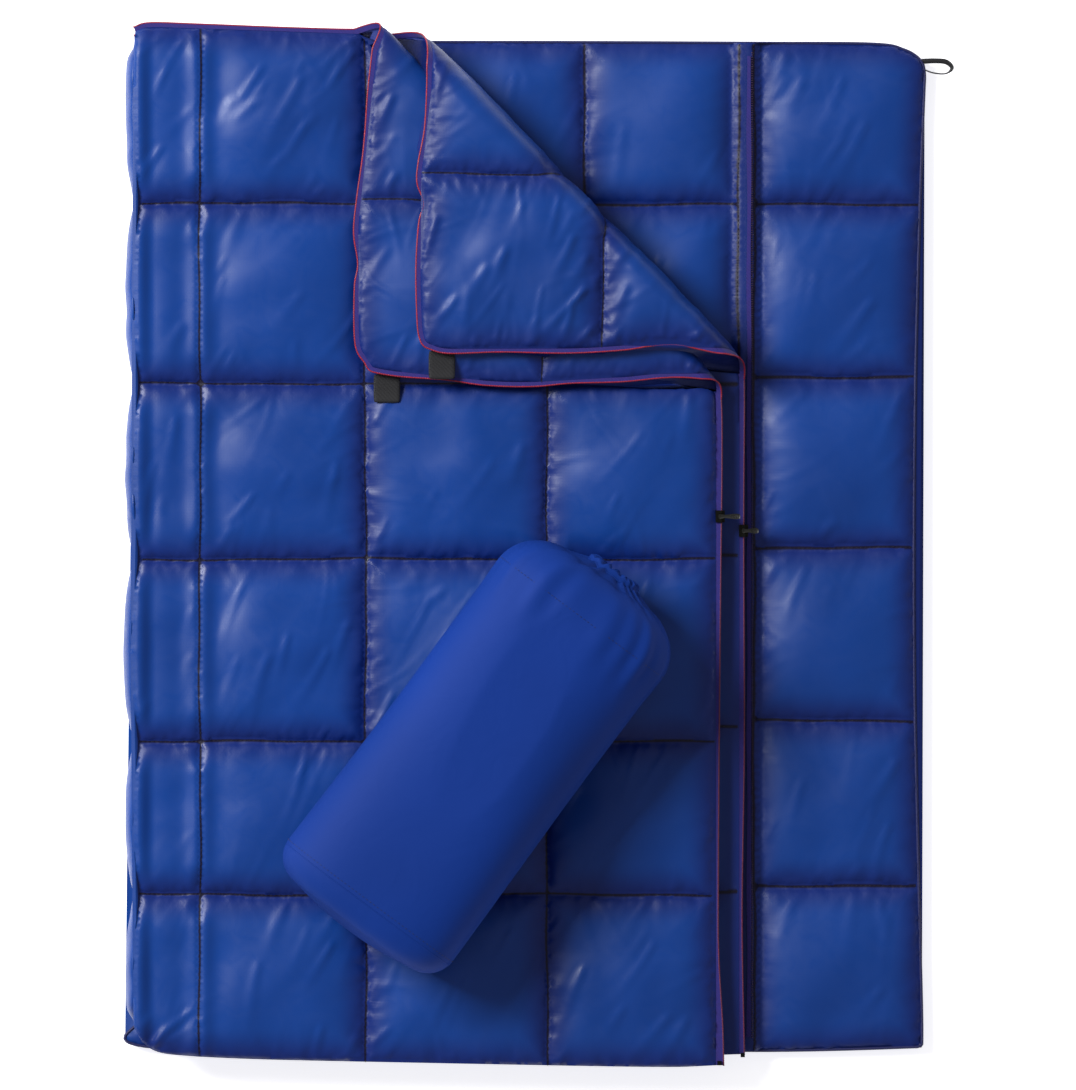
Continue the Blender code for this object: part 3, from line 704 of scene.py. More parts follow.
def cell_centre(columns, rows, low, high):
    """A function that gives the middle of the square a point is in."""
    xs = np.sort([low[0], *columns, high[0]])
    ys = np.sort([low[1], *rows, high[1]])

    def find(point):
        i = int(np.clip(np.searchsorted(xs, point[0]), 1, len(xs) - 1))
        j = int(np.clip(np.searchsorted(ys, point[1]), 1, len(ys) - 1))
        return np.array(((xs[i - 1] + xs[i]) / 2, (ys[j - 1] + ys[j]) / 2))
    return find


def ridge(flat, lift, start, way, length, width, size, curl):
    """Add one soft crease to the heights of the points near it."""
    near = np.flatnonzero((np.abs(flat - start) < length).all(axis=1))
    offset = flat[near] - start
    u = offset @ way
    v = offset @ np.array((-way[1], way[0])) - curl * u * u
    wide = width * (0.6 + 0.8 * np.clip(u / length, 0, 1))
    shape = np.exp(-v * v / (2 * wide * wide)) - 0.45 * np.exp(-v * v / (2 * (2.2 * wide) ** 2))
    lift[near] += size * shape * smoothstep(u, 0, 0.024) * np.clip(1 - u / length, 0, 1) ** 1.2


def creases(flat, gap, lines, centre, per_metre, height, drapes, rng):
    """Heights of creases over flat points: short ones that run out of seams and towards the middle of each
    square, and long slanting drapes, so many to a square metre, as the cloth is pulled towards its corner."""
    lift = np.zeros(len(flat))
    low, high = flat.min(axis=0), flat.max(axis=0)
    for _ in range(int(drapes * (high - low).prod())):
        start, angle = rng.uniform(low, high), rng.normal(-2.05, 0.2)
        ridge(flat, lift, start, np.array((math.cos(angle), math.sin(angle))), rng.uniform(0.07, 0.20),
              rng.uniform(0.0045, 0.009), height * rng.uniform(1.0, 2.9), rng.uniform(-1.2, 1.2))
    for line in lines:
        run = run_along(line)
        for _ in range(int(run[-1] * per_metre * 2)):
            i = int(np.clip(np.searchsorted(run, rng.uniform(0, run[-1])), 1, len(line) - 1))
            start, along = line[i], line[i] - line[i - 1]
            along = along / max(np.linalg.norm(along), 1e-9)
            side = np.array((-along[1], along[0])) * rng.choice((-1, 1))
            inwards = centre(start + side * 0.02) - start
            inwards = inwards / max(np.linalg.norm(inwards), 1e-9)
            way = side * 0.8 + inwards * rng.uniform(0.0, 0.9) + along * rng.normal(0, 0.45)
            way = way / np.linalg.norm(way)
            length = rng.uniform(0.04, 0.10) + (rng.uniform(0.03, 0.12) if rng.random() < 0.35 else 0)
            width, size = rng.uniform(0.0034, 0.0062), height * rng.uniform(0.35, 1.0)
            ridge(flat, lift, start, way, length, width, size, rng.uniform(-2.5, 2.5))
    return lift * np.clip(gap / 0.009, 0, 1)


def settle_cloth(points, triangles, pinned, quilting, pressure):
    """Blow up a sheet of spare cloth that is held at its seams, with Blender's Cloth."""
    sheet = mesh_object("cloth_sheet", points, triangles)
    group = sheet.vertex_groups.new(name="held")
    group.add([int(i) for i in np.flatnonzero(pinned)], 1.0, "REPLACE")
    modifier = sheet.modifiers.new("Cloth", "CLOTH")
    cloth = modifier.settings
    cloth.quality = 4
    cloth.mass = 0.1
    cloth.air_damping = 2.0
    cloth.tension_stiffness = cloth.compression_stiffness = 15.0
    cloth.shear_stiffness = 4.5
    cloth.bending_stiffness = 0.35
    cloth.tension_damping = cloth.compression_damping = cloth.shear_damping = 5.0
    cloth.vertex_group_mass = "held"
    cloth.shrink_min = -quilting.spare_cloth
    cloth.use_pressure = True
    cloth.uniform_pressure_force = pressure
    cloth.effector_weights.gravity = 0.0
    modifier.collision_settings.use_collision = False
    modifier.point_cache.frame_start = 1
    modifier.point_cache.frame_end = quilting.cloth_frames + 1
    for number in range(1, quilting.cloth_frames + 1):
        bpy.context.scene.frame_set(number)
    made = sheet.evaluated_get(bpy.context.evaluated_depsgraph_get()).to_mesh()
    settled = np.empty(len(made.vertices) * 3, np.float32)
    made.vertices.foreach_get("co", settled)
    settled = settled.reshape(-1, 3).astype(float)
    mesh = sheet.data
    bpy.data.objects.remove(sheet)
    bpy.data.meshes.remove(mesh)
    bpy.context.scene.frame_set(1)
    return settled


def smoothstep(values, low, high):
    t = np.clip((values - low) / (high - low), 0, 1)
    return t * t * (3 - 2 * t)


def rim_of(triangles):
    """The directed edges that only one triangle uses."""
    ends = np.concatenate([triangles[:, [0, 1]], triangles[:, [1, 2]], triangles[:, [2, 0]]])
    _, index, uses = np.unique(np.sort(ends, axis=1), axis=0, return_inverse=True, return_counts=True)
    return ends[uses[index.reshape(-1)] == 1]


def puffed_quilt(name, outline, seams, place, up, down, quilting, step, seed, rise=None, puff=None,
                 floor=None, soft=None, faint=None, centre=None, pucker=0.0017, crowd=1.0,
                 finishes=("shell", "lining")):
    """A closed quilt: cloth blown up between its seams above, and shallower, plainer pillows below.

    place puts flat points at a height over the quilt's middle. rise is the height at which seams are held,
    puff a share of the full height. soft says which points of the outline have no painted valley shade along
    them, and faint which seam lines get only the painted dark line, with no painted valley shade and no
    creases.
    """
    rng = np.random.default_rng(seed)
    flat, triangles, gap = lattice(outline, seams, step)
    held = gap < 0.51 * step
    base = SHEET_EDGE + (rise(flat) if rise else np.zeros(len(flat)))
    swell = up * (1 - np.exp(-gap / 0.042))
    start = np.column_stack([flat, base + np.where(held, 0, swell * 0.8 + rng.normal(0, 0.0006, len(flat)))])
    top = settle_cloth(start, triangles, held, quilting, 2.0)
    moved = np.column_stack([top[:, :2] - flat, top[:, 2] - base])
    shown = outline[~soft(outline)] if soft else outline
    strong = [line for line in seams if not (faint and faint(line))]
    calm = distances(flat, tree_of(np.vstack([shown, *strong])))
    moved = calmed(moved, triangles, 0.85 * smoothstep(calm, 0.003, 0.050) * ~held, 16)
    lift = moved[:, 2] * (up - 0.003) / np.percentile(moved[:, 2], 97)
    lift += 0.003 * (1 - np.exp(-gap / 0.006))
    lift += creases(flat, gap, [*strong, shown], centre, quilting.puckers * crowd, pucker,
                    quilting.drapes * crowd, rng)
    full = puff(flat) if puff else 1.0
    above = place(flat + moved[:, :2], base + lift * full)
    under_seams = [line[::2] for line in seams if len(line) > 4]
    low_flat, low_triangles, low_gap = lattice(outline, under_seams, step, coarse=2.2)
    low_full = puff(low_flat) if puff else 1.0
    depth = down * (1 - np.exp(-low_gap / 0.042)) * low_full
    below = place(low_flat, -SHEET_EDGE - (rise(low_flat) * 0.3 if rise else 0) - depth)
    if floor is not None:
        below[:, 2] = np.maximum(below[:, 2], floor)
    found = tree_of(low_flat)
    rim = rim_of(triangles)
    partner = {int(i): found.find((*flat[i], 0.0))[1] + len(flat) for i in np.unique(rim)}
    wall = [(j, i, partner[i], partner[j]) for i, j in rim.tolist()]
    faces = [*triangles.tolist(), *wall, *(low_triangles[:, ::-1] + len(flat)).tolist()]
    piece = mesh_object(name, np.vstack([above, below]), faces, *finishes)
    under = np.zeros(len(faces), np.int32)
    under[len(triangles) + len(wall):] = 1
    piece.data.polygons.foreach_set("material_index", under)
    marks = [*shown, *[p for line in strong for p in line]]
    runs = [np.arange(len(shown)) * step]
    runs += [np.arange(len(line)) * step + 3.0 * (k + 1) for k, line in enumerate(strong)]
    mark_seams(piece, np.vstack([flat, low_flat]), marks, np.concatenate(runs), np.vstack(seams), step)
    return piece


def mark_seams(piece, flat, marks, runs, sewn, step):
    """Store where the stitching is.

    "seam" is how far each point is from a drawn-in seam or edge, 0 on it and 1 at 75 mm, "along" how far
    along it, and "sewn" is 1 on a line of stitching.
    """
    found = tree_of(marks)
    near = [found.find((*p, 0.0)) for p in flat]
    given_values = {"seam": [min(1.0, d / 0.075) for _, _, d in near], "along": [runs[i] for _, i, _ in near],
                    "sewn": np.maximum(0, 1 - distances(flat, tree_of(sewn)) / step)}
    for name, given in given_values.items():
        mark = piece.data.attributes.new(name, "FLOAT", "POINT")
        mark.data.foreach_set("value", np.array(given, np.float32))


def fold_roll(name, line, out, middle, reach, height, pinches, seed, finish="lining"):
    """The rounded bend of a fold: a D-shaped roll along a line, drawn in where seams cross it."""
    rng = np.random.default_rng(seed)
    ripples = [(rng.uniform(20, 90), rng.uniform(0, 6.28), rng.uniform(0.3, 1.0)) for _ in range(7)]
    around = 16
    run = run_along(line)
    rings, marks = [], []
    for place, s in zip(line, run):
        gaps = [abs(s - p) for p in pinches] + [s, run[-1] - s]
        near = min(1.0, min(gaps) / 0.07)
        full = 0.62 + 0.38 * math.sin(near * math.pi / 2)
        end = min(1.0, min(s, run[-1] - s) / 0.03)
        size = full * max(0.25, math.sin(end * math.pi / 2))
        ripple = sum(a * math.sin(f * s + p) for f, p, a in ripples) * 0.035
        rings.append([])
        for k in range(around + 1):
            angle = math.pi * k / around - math.pi / 2
            swell = 1 + ripple * math.cos(2 * angle + 12 * s)
            x, y = place + out * (reach * size * math.cos(angle) * swell - 0.002)
            rings[-1].append((x, y, middle + height * size * math.sin(angle) * swell))
            marks.append(0.35 + 0.65 * near)
    piece = loft(name, rings, finish)
    # Painted shade: the seam mark falls towards each pinch and each end, so the taffeta paints its valley
    # shade into the roll there.
    mark = piece.data.attributes.new("seam", "FLOAT", "POINT")
    mark.data.foreach_set("value", np.array(marks, np.float32))
    return piece


# ---------------------------------------------------------------- repeats by Geometry Nodes

def new_tree(name, source, sizes, seed=None):
    """A tree with a geometry input, named sizes, a material and, where given, a seed; and its inputs."""
    tree = bpy.data.node_groups.new(name, "GeometryNodeTree")
    face = tree.interface
    face.new_socket(name=source, in_out="INPUT", socket_type="NodeSocketGeometry")
    for label, value in sizes:
        face.new_socket(name=label, in_out="INPUT", socket_type="NodeSocketFloat").default_value = value
    if seed is not None:
        face.new_socket(name="Seed", in_out="INPUT", socket_type="NodeSocketInt").default_value = seed
    face.new_socket(name="Finish", in_out="INPUT", socket_type="NodeSocketMaterial")
    face.new_socket(name="Result", in_out="OUTPUT", socket_type="NodeSocketGeometry")
    return tree, add_node(tree, "NodeGroupInput").outputs


def end_tree(tree, instances, finish):
    """Turn instances into real faces of one finish."""
    real = add_node(tree, "GeometryNodeRealizeInstances", Geometry=instances)
    done = add_node(tree, "GeometryNodeSetMaterial", Geometry=real.outputs[0], Material=finish)
    tree.links.new(done.outputs[0], add_node(tree, "NodeGroupOutput").inputs[0])
    return tree


def repeat_tree(name):
    """A tree that sets small beads along every line of a mesh, turned to follow it."""
    sizes = (("Pitch", 0.005), ("Length", 0.003), ("Width", 0.001), ("Height", 0.001))
    tree, given = new_tree(name, "Lines", sizes)
    curve = add_node(tree, "GeometryNodeMeshToCurve", Mesh=given["Lines"])
    spaced = add_node(tree, "GeometryNodeResampleCurve", {"mode": "LENGTH"}, Curve=curve.outputs[0],
                      Length=given["Pitch"])
    along = add_node(tree, "GeometryNodeInputTangent").outputs[0]
    turn = add_node(tree, "FunctionNodeAlignRotationToVector", {"axis": "X"}, Vector=along)
    size = add_node(tree, "ShaderNodeCombineXYZ", X=given["Length"], Y=given["Width"], Z=given["Height"])
    bead = add_node(tree, "GeometryNodeMeshIcoSphere", Radius=0.5, Subdivisions=1)
    round_bead = add_node(tree, "GeometryNodeSetShadeSmooth", _0=bead.outputs["Mesh"])
    put = add_node(tree, "GeometryNodeInstanceOnPoints", Points=spaced.outputs[0],
                   Instance=round_bead.outputs[0], Rotation=turn.outputs[0], Scale=size.outputs[0])
    return end_tree(tree, put.outputs[0], given["Finish"])


def grid_tree(name):
    """A tree that covers a flat patch with upright hooks, scattered from a fixed seed."""
    sizes = (("Spacing", 0.002), ("Thickness", 0.0007), ("Height", 0.0012))
    tree, given = new_tree(name, "Patch", sizes, seed=3)
    spots = add_node(tree, "GeometryNodeDistributePointsOnFaces", {"distribute_method": "POISSON"},
                     Mesh=given["Patch"], Seed=given["Seed"], Distance_Min=given["Spacing"],
                     Density_Max=400000.0)
    size = add_node(tree, "ShaderNodeCombineXYZ", X=given["Thickness"], Y=given["Thickness"],
                    Z=given["Height"])
    hook = add_node(tree, "GeometryNodeMeshIcoSphere", Radius=0.5, Subdivisions=1)
    put = add_node(tree, "GeometryNodeInstanceOnPoints", Points=spots.outputs[0], Instance=hook.outputs[0],
                   Scale=size.outputs[0])
    return end_tree(tree, put.outputs[0], given["Finish"])


def grow(name, source, tree, finish, **values):
    """Run a tree on a source mesh and keep the result as a plain mesh object."""
    modifier = source.modifiers.new("Repeat", "NODES")
    modifier.node_group = tree
    values["Finish"] = MATERIALS[finish]
    for item in tree.interface.items_tree:
        if item.in_out == "INPUT" and item.name in values:
            modifier[item.identifier] = values[item.name]
    depsgraph = bpy.context.evaluated_depsgraph_get()
    mesh = bpy.data.meshes.new_from_object(source.evaluated_get(depsgraph))
    mesh.name = name
    source.modifiers.clear()
    bpy.data.objects.remove(source)
    piece = bpy.data.objects.new(name, mesh)
    bpy.context.collection.objects.link(piece)
    return piece


def line_mesh(name, lines):
    """A mesh of bare edges, one run for each line of 3D points."""
    points, edges = [], []
    for line in lines:
        first = len(points)
        points += [tuple(map(float, p)) for p in line]
        edges += [(first + i, first + i + 1) for i in range(len(line) - 1)]
    mesh = bpy.data.meshes.new(name)
    mesh.from_pydata(points, edges, [])
    piece = bpy.data.objects.new(name, mesh)
    bpy.context.collection.objects.link(piece)
    return piece


TREES = {}


def beads(name, lines, finish, pitch, length, width, height):
    if "beads" not in TREES:
        TREES["beads"] = repeat_tree("Beads along lines")
    source = line_mesh(name + "_lines", lines)
    return grow(name, source, TREES["beads"], finish, Pitch=pitch, Length=length, Width=width, Height=height)


def stitching(name, lines):
    trim = bpy.context.scene.bag_trim
    piece = beads(name, lines, "thread", trim.stitch_pitch, trim.stitch_length, trim.thread_width,
                  trim.thread_width)
    return piece


def ribbon(name, near, far, place, half, finish):
    """A flat strip between two matching flat paths, half a thickness to each side of where place puts it."""
    count = len(near)
    sides = ((near, -half), (far, -half), (far, half), (near, half))
    points = np.vstack([place(path, lift) for path, lift in sides])
    faces = []
    for k in range(4):
        for i in range(count - 1):
            a, b = k * count + i, ((k + 1) % 4) * count + i
            faces.append((a, a + 1, b + 1, b))
    faces.append((0, count, 2 * count, 3 * count))
    faces.append(tuple(k * count + count - 1 for k in (3, 2, 1, 0)))
    return outward(mesh_object(name, points, faces, finish, smooth=False))


def tube(name, path, radius, finish, sides=8, closed=False, flat=1.0):
    """A round cord along a path of 3D points; flat squeezes it from above."""
    path = np.asarray(path, float)
    if closed:
        along = np.roll(path, -1, axis=0) - np.roll(path, 1, axis=0)
    else:
        along = np.gradient(path, axis=0)
    along /= np.linalg.norm(along, axis=1)[:, None]
    across = np.cross(along, (0.0, 0.0, 1.0))
    across /= np.maximum(np.linalg.norm(across, axis=1)[:, None], 1e-9)
    up = np.cross(across, along)
    angles = [2 * math.pi * k / sides for k in range(sides)]
    rings = [[place + radius * (math.cos(angle) * a + flat * math.sin(angle) * u) for angle in angles]
             for place, a, u in zip(path, across, up)]
    return loft(name, rings, finish, closed)


# ---------------------------------------------------------------- operators: quilts

class BagOperator(bpy.types.Operator):
    """Shared by the operators that make one group of the bag's pieces."""

    bl_options = {"REGISTER"}

    def execute(self, context):
        self.make(context.scene)
        return {"FINISHED"}


def back_rise(points):
    """Held cloth's height over the back quilt's middle: raised on the band that carries the zip."""
    x = points[:, 0]
    return 0.019 * smoothstep(x, BACK_BAND[0] - 0.012, BACK_BAND[0]) * smoothstep(-x, -BACK_BAND[1] - 0.012,
                                                                                -BACK_BAND[1])


def cover_rise(points):
    """Held cloth's height over a cover's middle: raised at the closed side and along its soft first seam."""
    x, y = points[:, 0], points[:, 1]
    first = 0.017 * np.exp(-((x - OUTER_COLUMNS[0]) / 0.022) ** 2)
    side = 0.016 * smoothstep(-x, -LEFT - 0.060, -LEFT - 0.030)
    near_row = np.min([np.abs(y - row) for row in (*OUTER_ROWS, OUTER.head, OUTER.foot)], axis=0)
    return np.maximum(first, side) * (0.15 + 0.85 * smoothstep(near_row, 0.004, 0.060))


def back_flatness(points):
    """Share of the back quilt's puff: next to none on the band that carries the zip."""
    x = points[:, 0]
    inside_left = smoothstep(x, BACK_BAND[0] - 0.004, BACK_BAND[0])
    inside_right = smoothstep(-x, -BACK_BAND[1] - 0.004, -BACK_BAND[1])
    return 1 - 0.92 * inside_left * inside_right


def inner_flatness(points):
    """Share of the inner cover's puff: next to none on the band beside its zip."""
    return 1 - 0.9 * smoothstep(points[:, 0], INNER.right - 0.075, INNER.right - 0.040)


def is_first_column(line):
    return bool(abs(line[:, 0].mean() - OUTER_COLUMNS[0]) < 0.01)


def at_closed_side(points):
    return points[:, 0] < LEFT + 0.050


class SLEEPINGBAG_OT_back(BagOperator):
    """Make the back quilt, its bound edge and its stitching"""

    bl_idname = "sleeping_bag.back"
    bl_label = "Back Quilt"

    def make(self, scene):
        quilting = scene.bag_quilting
        step = quilting.back_step
        outline = back_outline(step)
        seams = seam_lines([*BACK_COLUMNS, *BACK_BAND], BACK_ROWS, outline, step, skip=BACK_BAND)
        centre = cell_centre([*BACK_COLUMNS, *BACK_BAND], BACK_ROWS, *np.array(BACK)[:, :2])
        quilt = puffed_quilt("back_quilt", outline, seams, back_flat, quilting.back_puff, 0.021, quilting,
                             step, seed=11, rise=back_rise, puff=back_flatness, floor=0.0004,
                             soft=at_closed_side, centre=centre, finishes=("lining", "shell"))
        hand_over(quilt, "back", "lining", "back_shell", "back_fill", "back_lining")
        edge = back_flat(back_outline(0.006), 0.0)
        binding = tube("back_edge_binding", edge, 3.0 * MM, "binding", sides=10, closed=True, flat=1.7)
        hand_over(binding, "back", "binding", "back_binding")
        lines = [back_flat(line, SHEET_EDGE + 0.0003 + back_rise(line)) for line in seams]
        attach(stitching("back_stitches", lines), "back")


def make_cover(cover, quilting, step, up, down, seed):
    def soft(points):
        """Outline points at the closed side, and where the corner's fold takes over."""
        return at_closed_side(points) | (cover.over_fold(points) > -cover.inset(points) - 2 * MM)

    outline = cover_outline(cover, step)
    seams = seam_lines(cover.columns, cover.rows, outline, step)
    rise = cover_rise if cover is OUTER else None
    centre = cell_centre(cover.columns, cover.rows, (cover.left, cover.foot), (cover.right, cover.head))
    main = puffed_quilt(cover.name + "_cover_quilt", outline, seams, cover.flat, up, down, quilting, step,
                        seed=seed, rise=rise, soft=soft, centre=centre,
                        puff=None if cover is OUTER else inner_flatness,
                        faint=is_first_column if cover is OUTER else None)
    nodes = [f"{cover.name}_cover_{layer}" for layer in ("shell", "fill", "lining")]
    hand_over(main, "covers", "shell", *nodes)
    lines = [cover.flat(line, SHEET_EDGE + 0.0003 + (rise(line) if rise else 0)) for line in seams]
    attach(stitching(cover.name + "_cover_stitches", lines), "covers")


def across_fold(piece):
    """Bake a piece's transform into its mesh."""
    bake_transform(piece)


def make_corner(cover, quilting, step, up, down, seed):
    outline = corner_outline(cover, step)
    seams = seam_lines(cover.columns, cover.rows, outline, step, place=cover.turned)
    middle = cell_centre(cover.columns, cover.rows, (cover.left, cover.foot), (cover.right, cover.head))

    def centre(point):
        return cover.turned(middle(cover.turned(point[None])[0])[None])[0]

    tab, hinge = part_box(cover.name + "_tab"), joint(cover.name + "_tab_flip")["pos_m"]
    flipped = np.array(((tab[0][0] + tab[1][0]) / 2, 2 * hinge[1] - (tab[0][1] + tab[1][1]) / 2))

    def puff(points):
        """Share of the puff: half at the bend, and half where the tab lies once it is flipped over."""
        pressed = np.exp(-(np.linalg.norm(points - flipped, axis=1) / 0.042) ** 4)
        return (1 - 0.5 * np.sin(cover.bend(points))) * (1 - 0.45 * pressed)

    quilt = puffed_quilt(cover.name + "_corner_quilt", outline, seams, cover.wrapped, up, down, quilting,
                         step, seed=seed, puff=puff, soft=lambda points: cover.bend(points) > 3.0,
                         centre=centre, pucker=0.0022, crowd=1.7,
                         finishes=("lining", "shell"))
    across_fold(quilt)
    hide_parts(*[f"{cover.name}_corner_{layer}" for layer in ("shell", "fill", "lining")])
    lines = [cover.wrapped(line, SHEET_EDGE + 0.0003) for line in seams]
    across_fold(stitching(cover.name + "_corner_stitches", lines))


class SLEEPINGBAG_OT_inner(BagOperator):
    """Make the inner cover and its turned-over corner"""

    bl_idname = "sleeping_bag.inner"
    bl_label = "Inner Cover"

    def make(self, scene):
        quilting = scene.bag_quilting
        make_cover(INNER, quilting, quilting.inner_step, quilting.inner_puff, 0.010, seed=21)
        make_corner(INNER, quilting, quilting.corner_step, 0.023, 0.009, seed=22)


class SLEEPINGBAG_OT_outer(BagOperator):
    """Make the outer cover and its turned-over corner"""

    bl_idname = "sleeping_bag.outer"
    bl_label = "Outer Cover"

    def make(self, scene):
        quilting = scene.bag_quilting
        make_cover(OUTER, quilting, quilting.outer_step, quilting.cover_puff, 0.010, seed=31)
        make_corner(OUTER, quilting, quilting.corner_step, 0.021, 0.009, seed=32)


class SLEEPINGBAG_OT_gusset(BagOperator):
    """Make the closed side, where the back quilt's shell turns up into the covers"""

    bl_idname = "sleeping_bag.gusset"
    bl_label = "Closed Side"

    def make(self, _scene):
        head, foot = OUTER.head - 0.034, OUTER.foot + 0.06
        path = even(np.array(closed_side(OUTER_ROWS, head, foot, 0.014, 0.010)), 0.008)
        run = run_along(path)
        pinches = [float(np.interp(-row, -path[:, 1], run)) for row in OUTER_ROWS]
        low, high = BACK_MID - 0.014, OUTER.mid + 0.017
        piece = fold_roll("closed_side_gusset", path, np.array((-1.0, 0.0)), (low + high) / 2, 0.017,
                          (high - low) / 2, pinches, seed=41, finish="shell")
        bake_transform(piece)


# ---------------------------------------------------------------- operators: zips and trim

def zip_pieces(cover, part, step, trim):
    """Tape, piping and coil along one run of a cover's free edge."""
    def run(inset, steady=False):
        path = free_edge(cover, step, inset, steady)[part]
        return even(cover.turned(path) if part == "corner" else path, length / count)

    length = run_along(free_edge(cover, step)[part])[-1]
    count = round(length / step)
    place = cover.wrapped if part == "corner" else cover.flat
    name = f"{cover.name}_{part}"
    near = matched(run(0.0008), count)
    far = matched(run(TAPE_INSIDE - COIL_CENTRE + 0.002, steady=True), count)
    tape = ribbon(name + "_zip_tape", near, far, place, 0.9 * MM, "tape")
    line = place(run(0.0), 0.0)
    # The side run takes the red coil's copy with painted shade; the corner and head runs take the plain red
    # coil.
    finish = "side_coil" if part == "side" else "coil"
    core = tube(name + "_piping", line, 1.35 * MM, finish)
    coil = beads(name + "_teeth", [line], finish, trim.tooth_pitch, trim.tooth_pitch * 0.62,
                 4.4 * MM, 3.4 * MM)
    for piece, slot in ((tape, "tape"), (core, "coil"), (coil, "coil")):
        if part == "corner":
            across_fold(piece)
        else:
            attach(piece, "covers")
    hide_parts(name + "_tape")
    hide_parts(name + "_coil")


def matched(path, count):
    """A path with a set number of steps."""
    run = run_along(path)
    marks = np.linspace(0, run[-1], count + 1)
    return np.stack([np.interp(marks, run, path[:, k]) for k in range(2)], axis=1)


class SLEEPINGBAG_OT_zips(BagOperator):
    """Make the zip tapes, the red piping and the coils"""

    bl_idname = "sleeping_bag.zips"
    bl_label = "Zips"

    def make(self, scene):
        trim = scene.bag_trim
        for cover in (INNER, OUTER):
            for part in ("side", "corner", "head"):
                zip_pieces(cover, part, 0.005, trim)
        low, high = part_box("back_zip_coil")
        line = np.array([((low[0] + high[0]) / 2, y, (low[2] + high[2]) / 2) for y in (low[1], high[1])])
        # The back quilt's coil takes the copy of the coil painted near-black as shade.
        coil = beads("back_teeth", [even(line, 0.01)], "shaded_back_coil", trim.tooth_pitch, trim.tooth_pitch * 0.62,
                     4.0 * MM, 3.6 * MM)
        hand_over(coil, "back", "coil", "back_zip_coil")
        low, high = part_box("back_zip_tape")
        ys = np.arange(low[1], high[1], 0.01)
        near = np.column_stack([low[0] + 0.0008 * np.sin(ys * 23), ys])
        far = np.column_stack([high[0] + 0.0006 * np.sin(ys * 19 + 1), ys])
        middle, half = (low[2] + high[2]) / 2, (high[2] - low[2]) / 2
        tape = ribbon("back_side_tape", near, far,
                      lambda path, lift: np.column_stack([path, np.full(len(path), middle + lift)]),
                      half, "tape")
        hand_over(tape, "back", "tape", "back_zip_tape")


def frame_finish(node, finish):
    """Give a CAD node that keeps its shape a finish of its own."""
    mesh = frame["nodes"][node].data
    mesh.materials.clear()
    mesh.materials.append(MATERIALS[finish])


def pull_shape(name, low, high, middle_z):
    """A moulded pull: a waisted plate with a rim and raised grip bars."""
    x0, x1 = low[0], high[0]
    y0, y1 = low[1], high[1]
    cy, half = (y0 + y1) / 2, (y1 - y0) / 2
    outline = smooth_path([
        (x0, cy - half * 0.8), (x0 + 0.30 * (x1 - x0), cy - half * 0.62), (x0 + 0.75 * (x1 - x0), cy - half),
        (x1 - 0.0015, cy - half * 0.8), (x1, cy), (x1 - 0.0015, cy + half * 0.8),
        (x0 + 0.75 * (x1 - x0), cy + half), (x0 + 0.30 * (x1 - x0), cy + half * 0.62), (x0, cy + half * 0.8),
    ], 0.001, closed=True)
    thick = (high[2] - low[2]) / 2
    shape = bmesh.new()
    face = shape.faces.new([shape.verts.new((x, y, middle_z - thick * 0.8)) for x, y in outline])
    grown = bmesh.ops.extrude_face_region(shape, geom=[face])
    moved = [v for v in grown["geom"] if isinstance(v, bmesh.types.BMVert)]
    bmesh.ops.translate(shape, verts=moved, vec=(0, 0, thick * 1.6))
    top = next(f for f in shape.faces if all(v in set(moved) for v in f.verts))
    bmesh.ops.inset_region(shape, faces=[top], thickness=0.0012, depth=-0.0006)
    bmesh.ops.recalc_face_normals(shape, faces=shape.faces)
    mesh = bpy.data.meshes.new(name)
    shape.to_mesh(mesh)
    shape.free()
    mesh.polygons.foreach_set("use_smooth", [True] * len(mesh.polygons))
    mesh.set_sharp_from_angle(angle=math.radians(40))
    mesh.materials.append(MATERIALS["pull"])
    piece = bpy.data.objects.new(name, mesh)
    bpy.context.collection.objects.link(piece)
    bars = [[(x, cy - half * 0.6, middle_z + thick * 0.55), (x, cy + half * 0.6, middle_z + thick * 0.55)]
            for x in np.linspace(x0 + 0.55 * (x1 - x0), x1 - 0.004, 5)]
    return piece, bars


class SLEEPINGBAG_OT_sliders(BagOperator):
    """Finish the sliders, pins and stops, and make the pulls"""

    bl_idname = "sleeping_bag.sliders"
    bl_label = "Sliders and Pulls"

    def make(self, _scene):
        for cover in (INNER, OUTER):
            for node in ("slider", "slider_pin", "zip_stop"):
                frame_finish(f"{cover.name}_{node}", "metal")
            body = cover.name + "_pull"
            low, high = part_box(body)
            pull, bars = pull_shape(body + "_tab", low, high, (low[2] + high[2]) / 2)
            hand_over(pull, body, "pull", body)
            grip = beads(body + "_grip", bars, "pull", 0.0008, 0.0014, 0.0011, 0.0012)
            hand_over(grip, body, "pull")


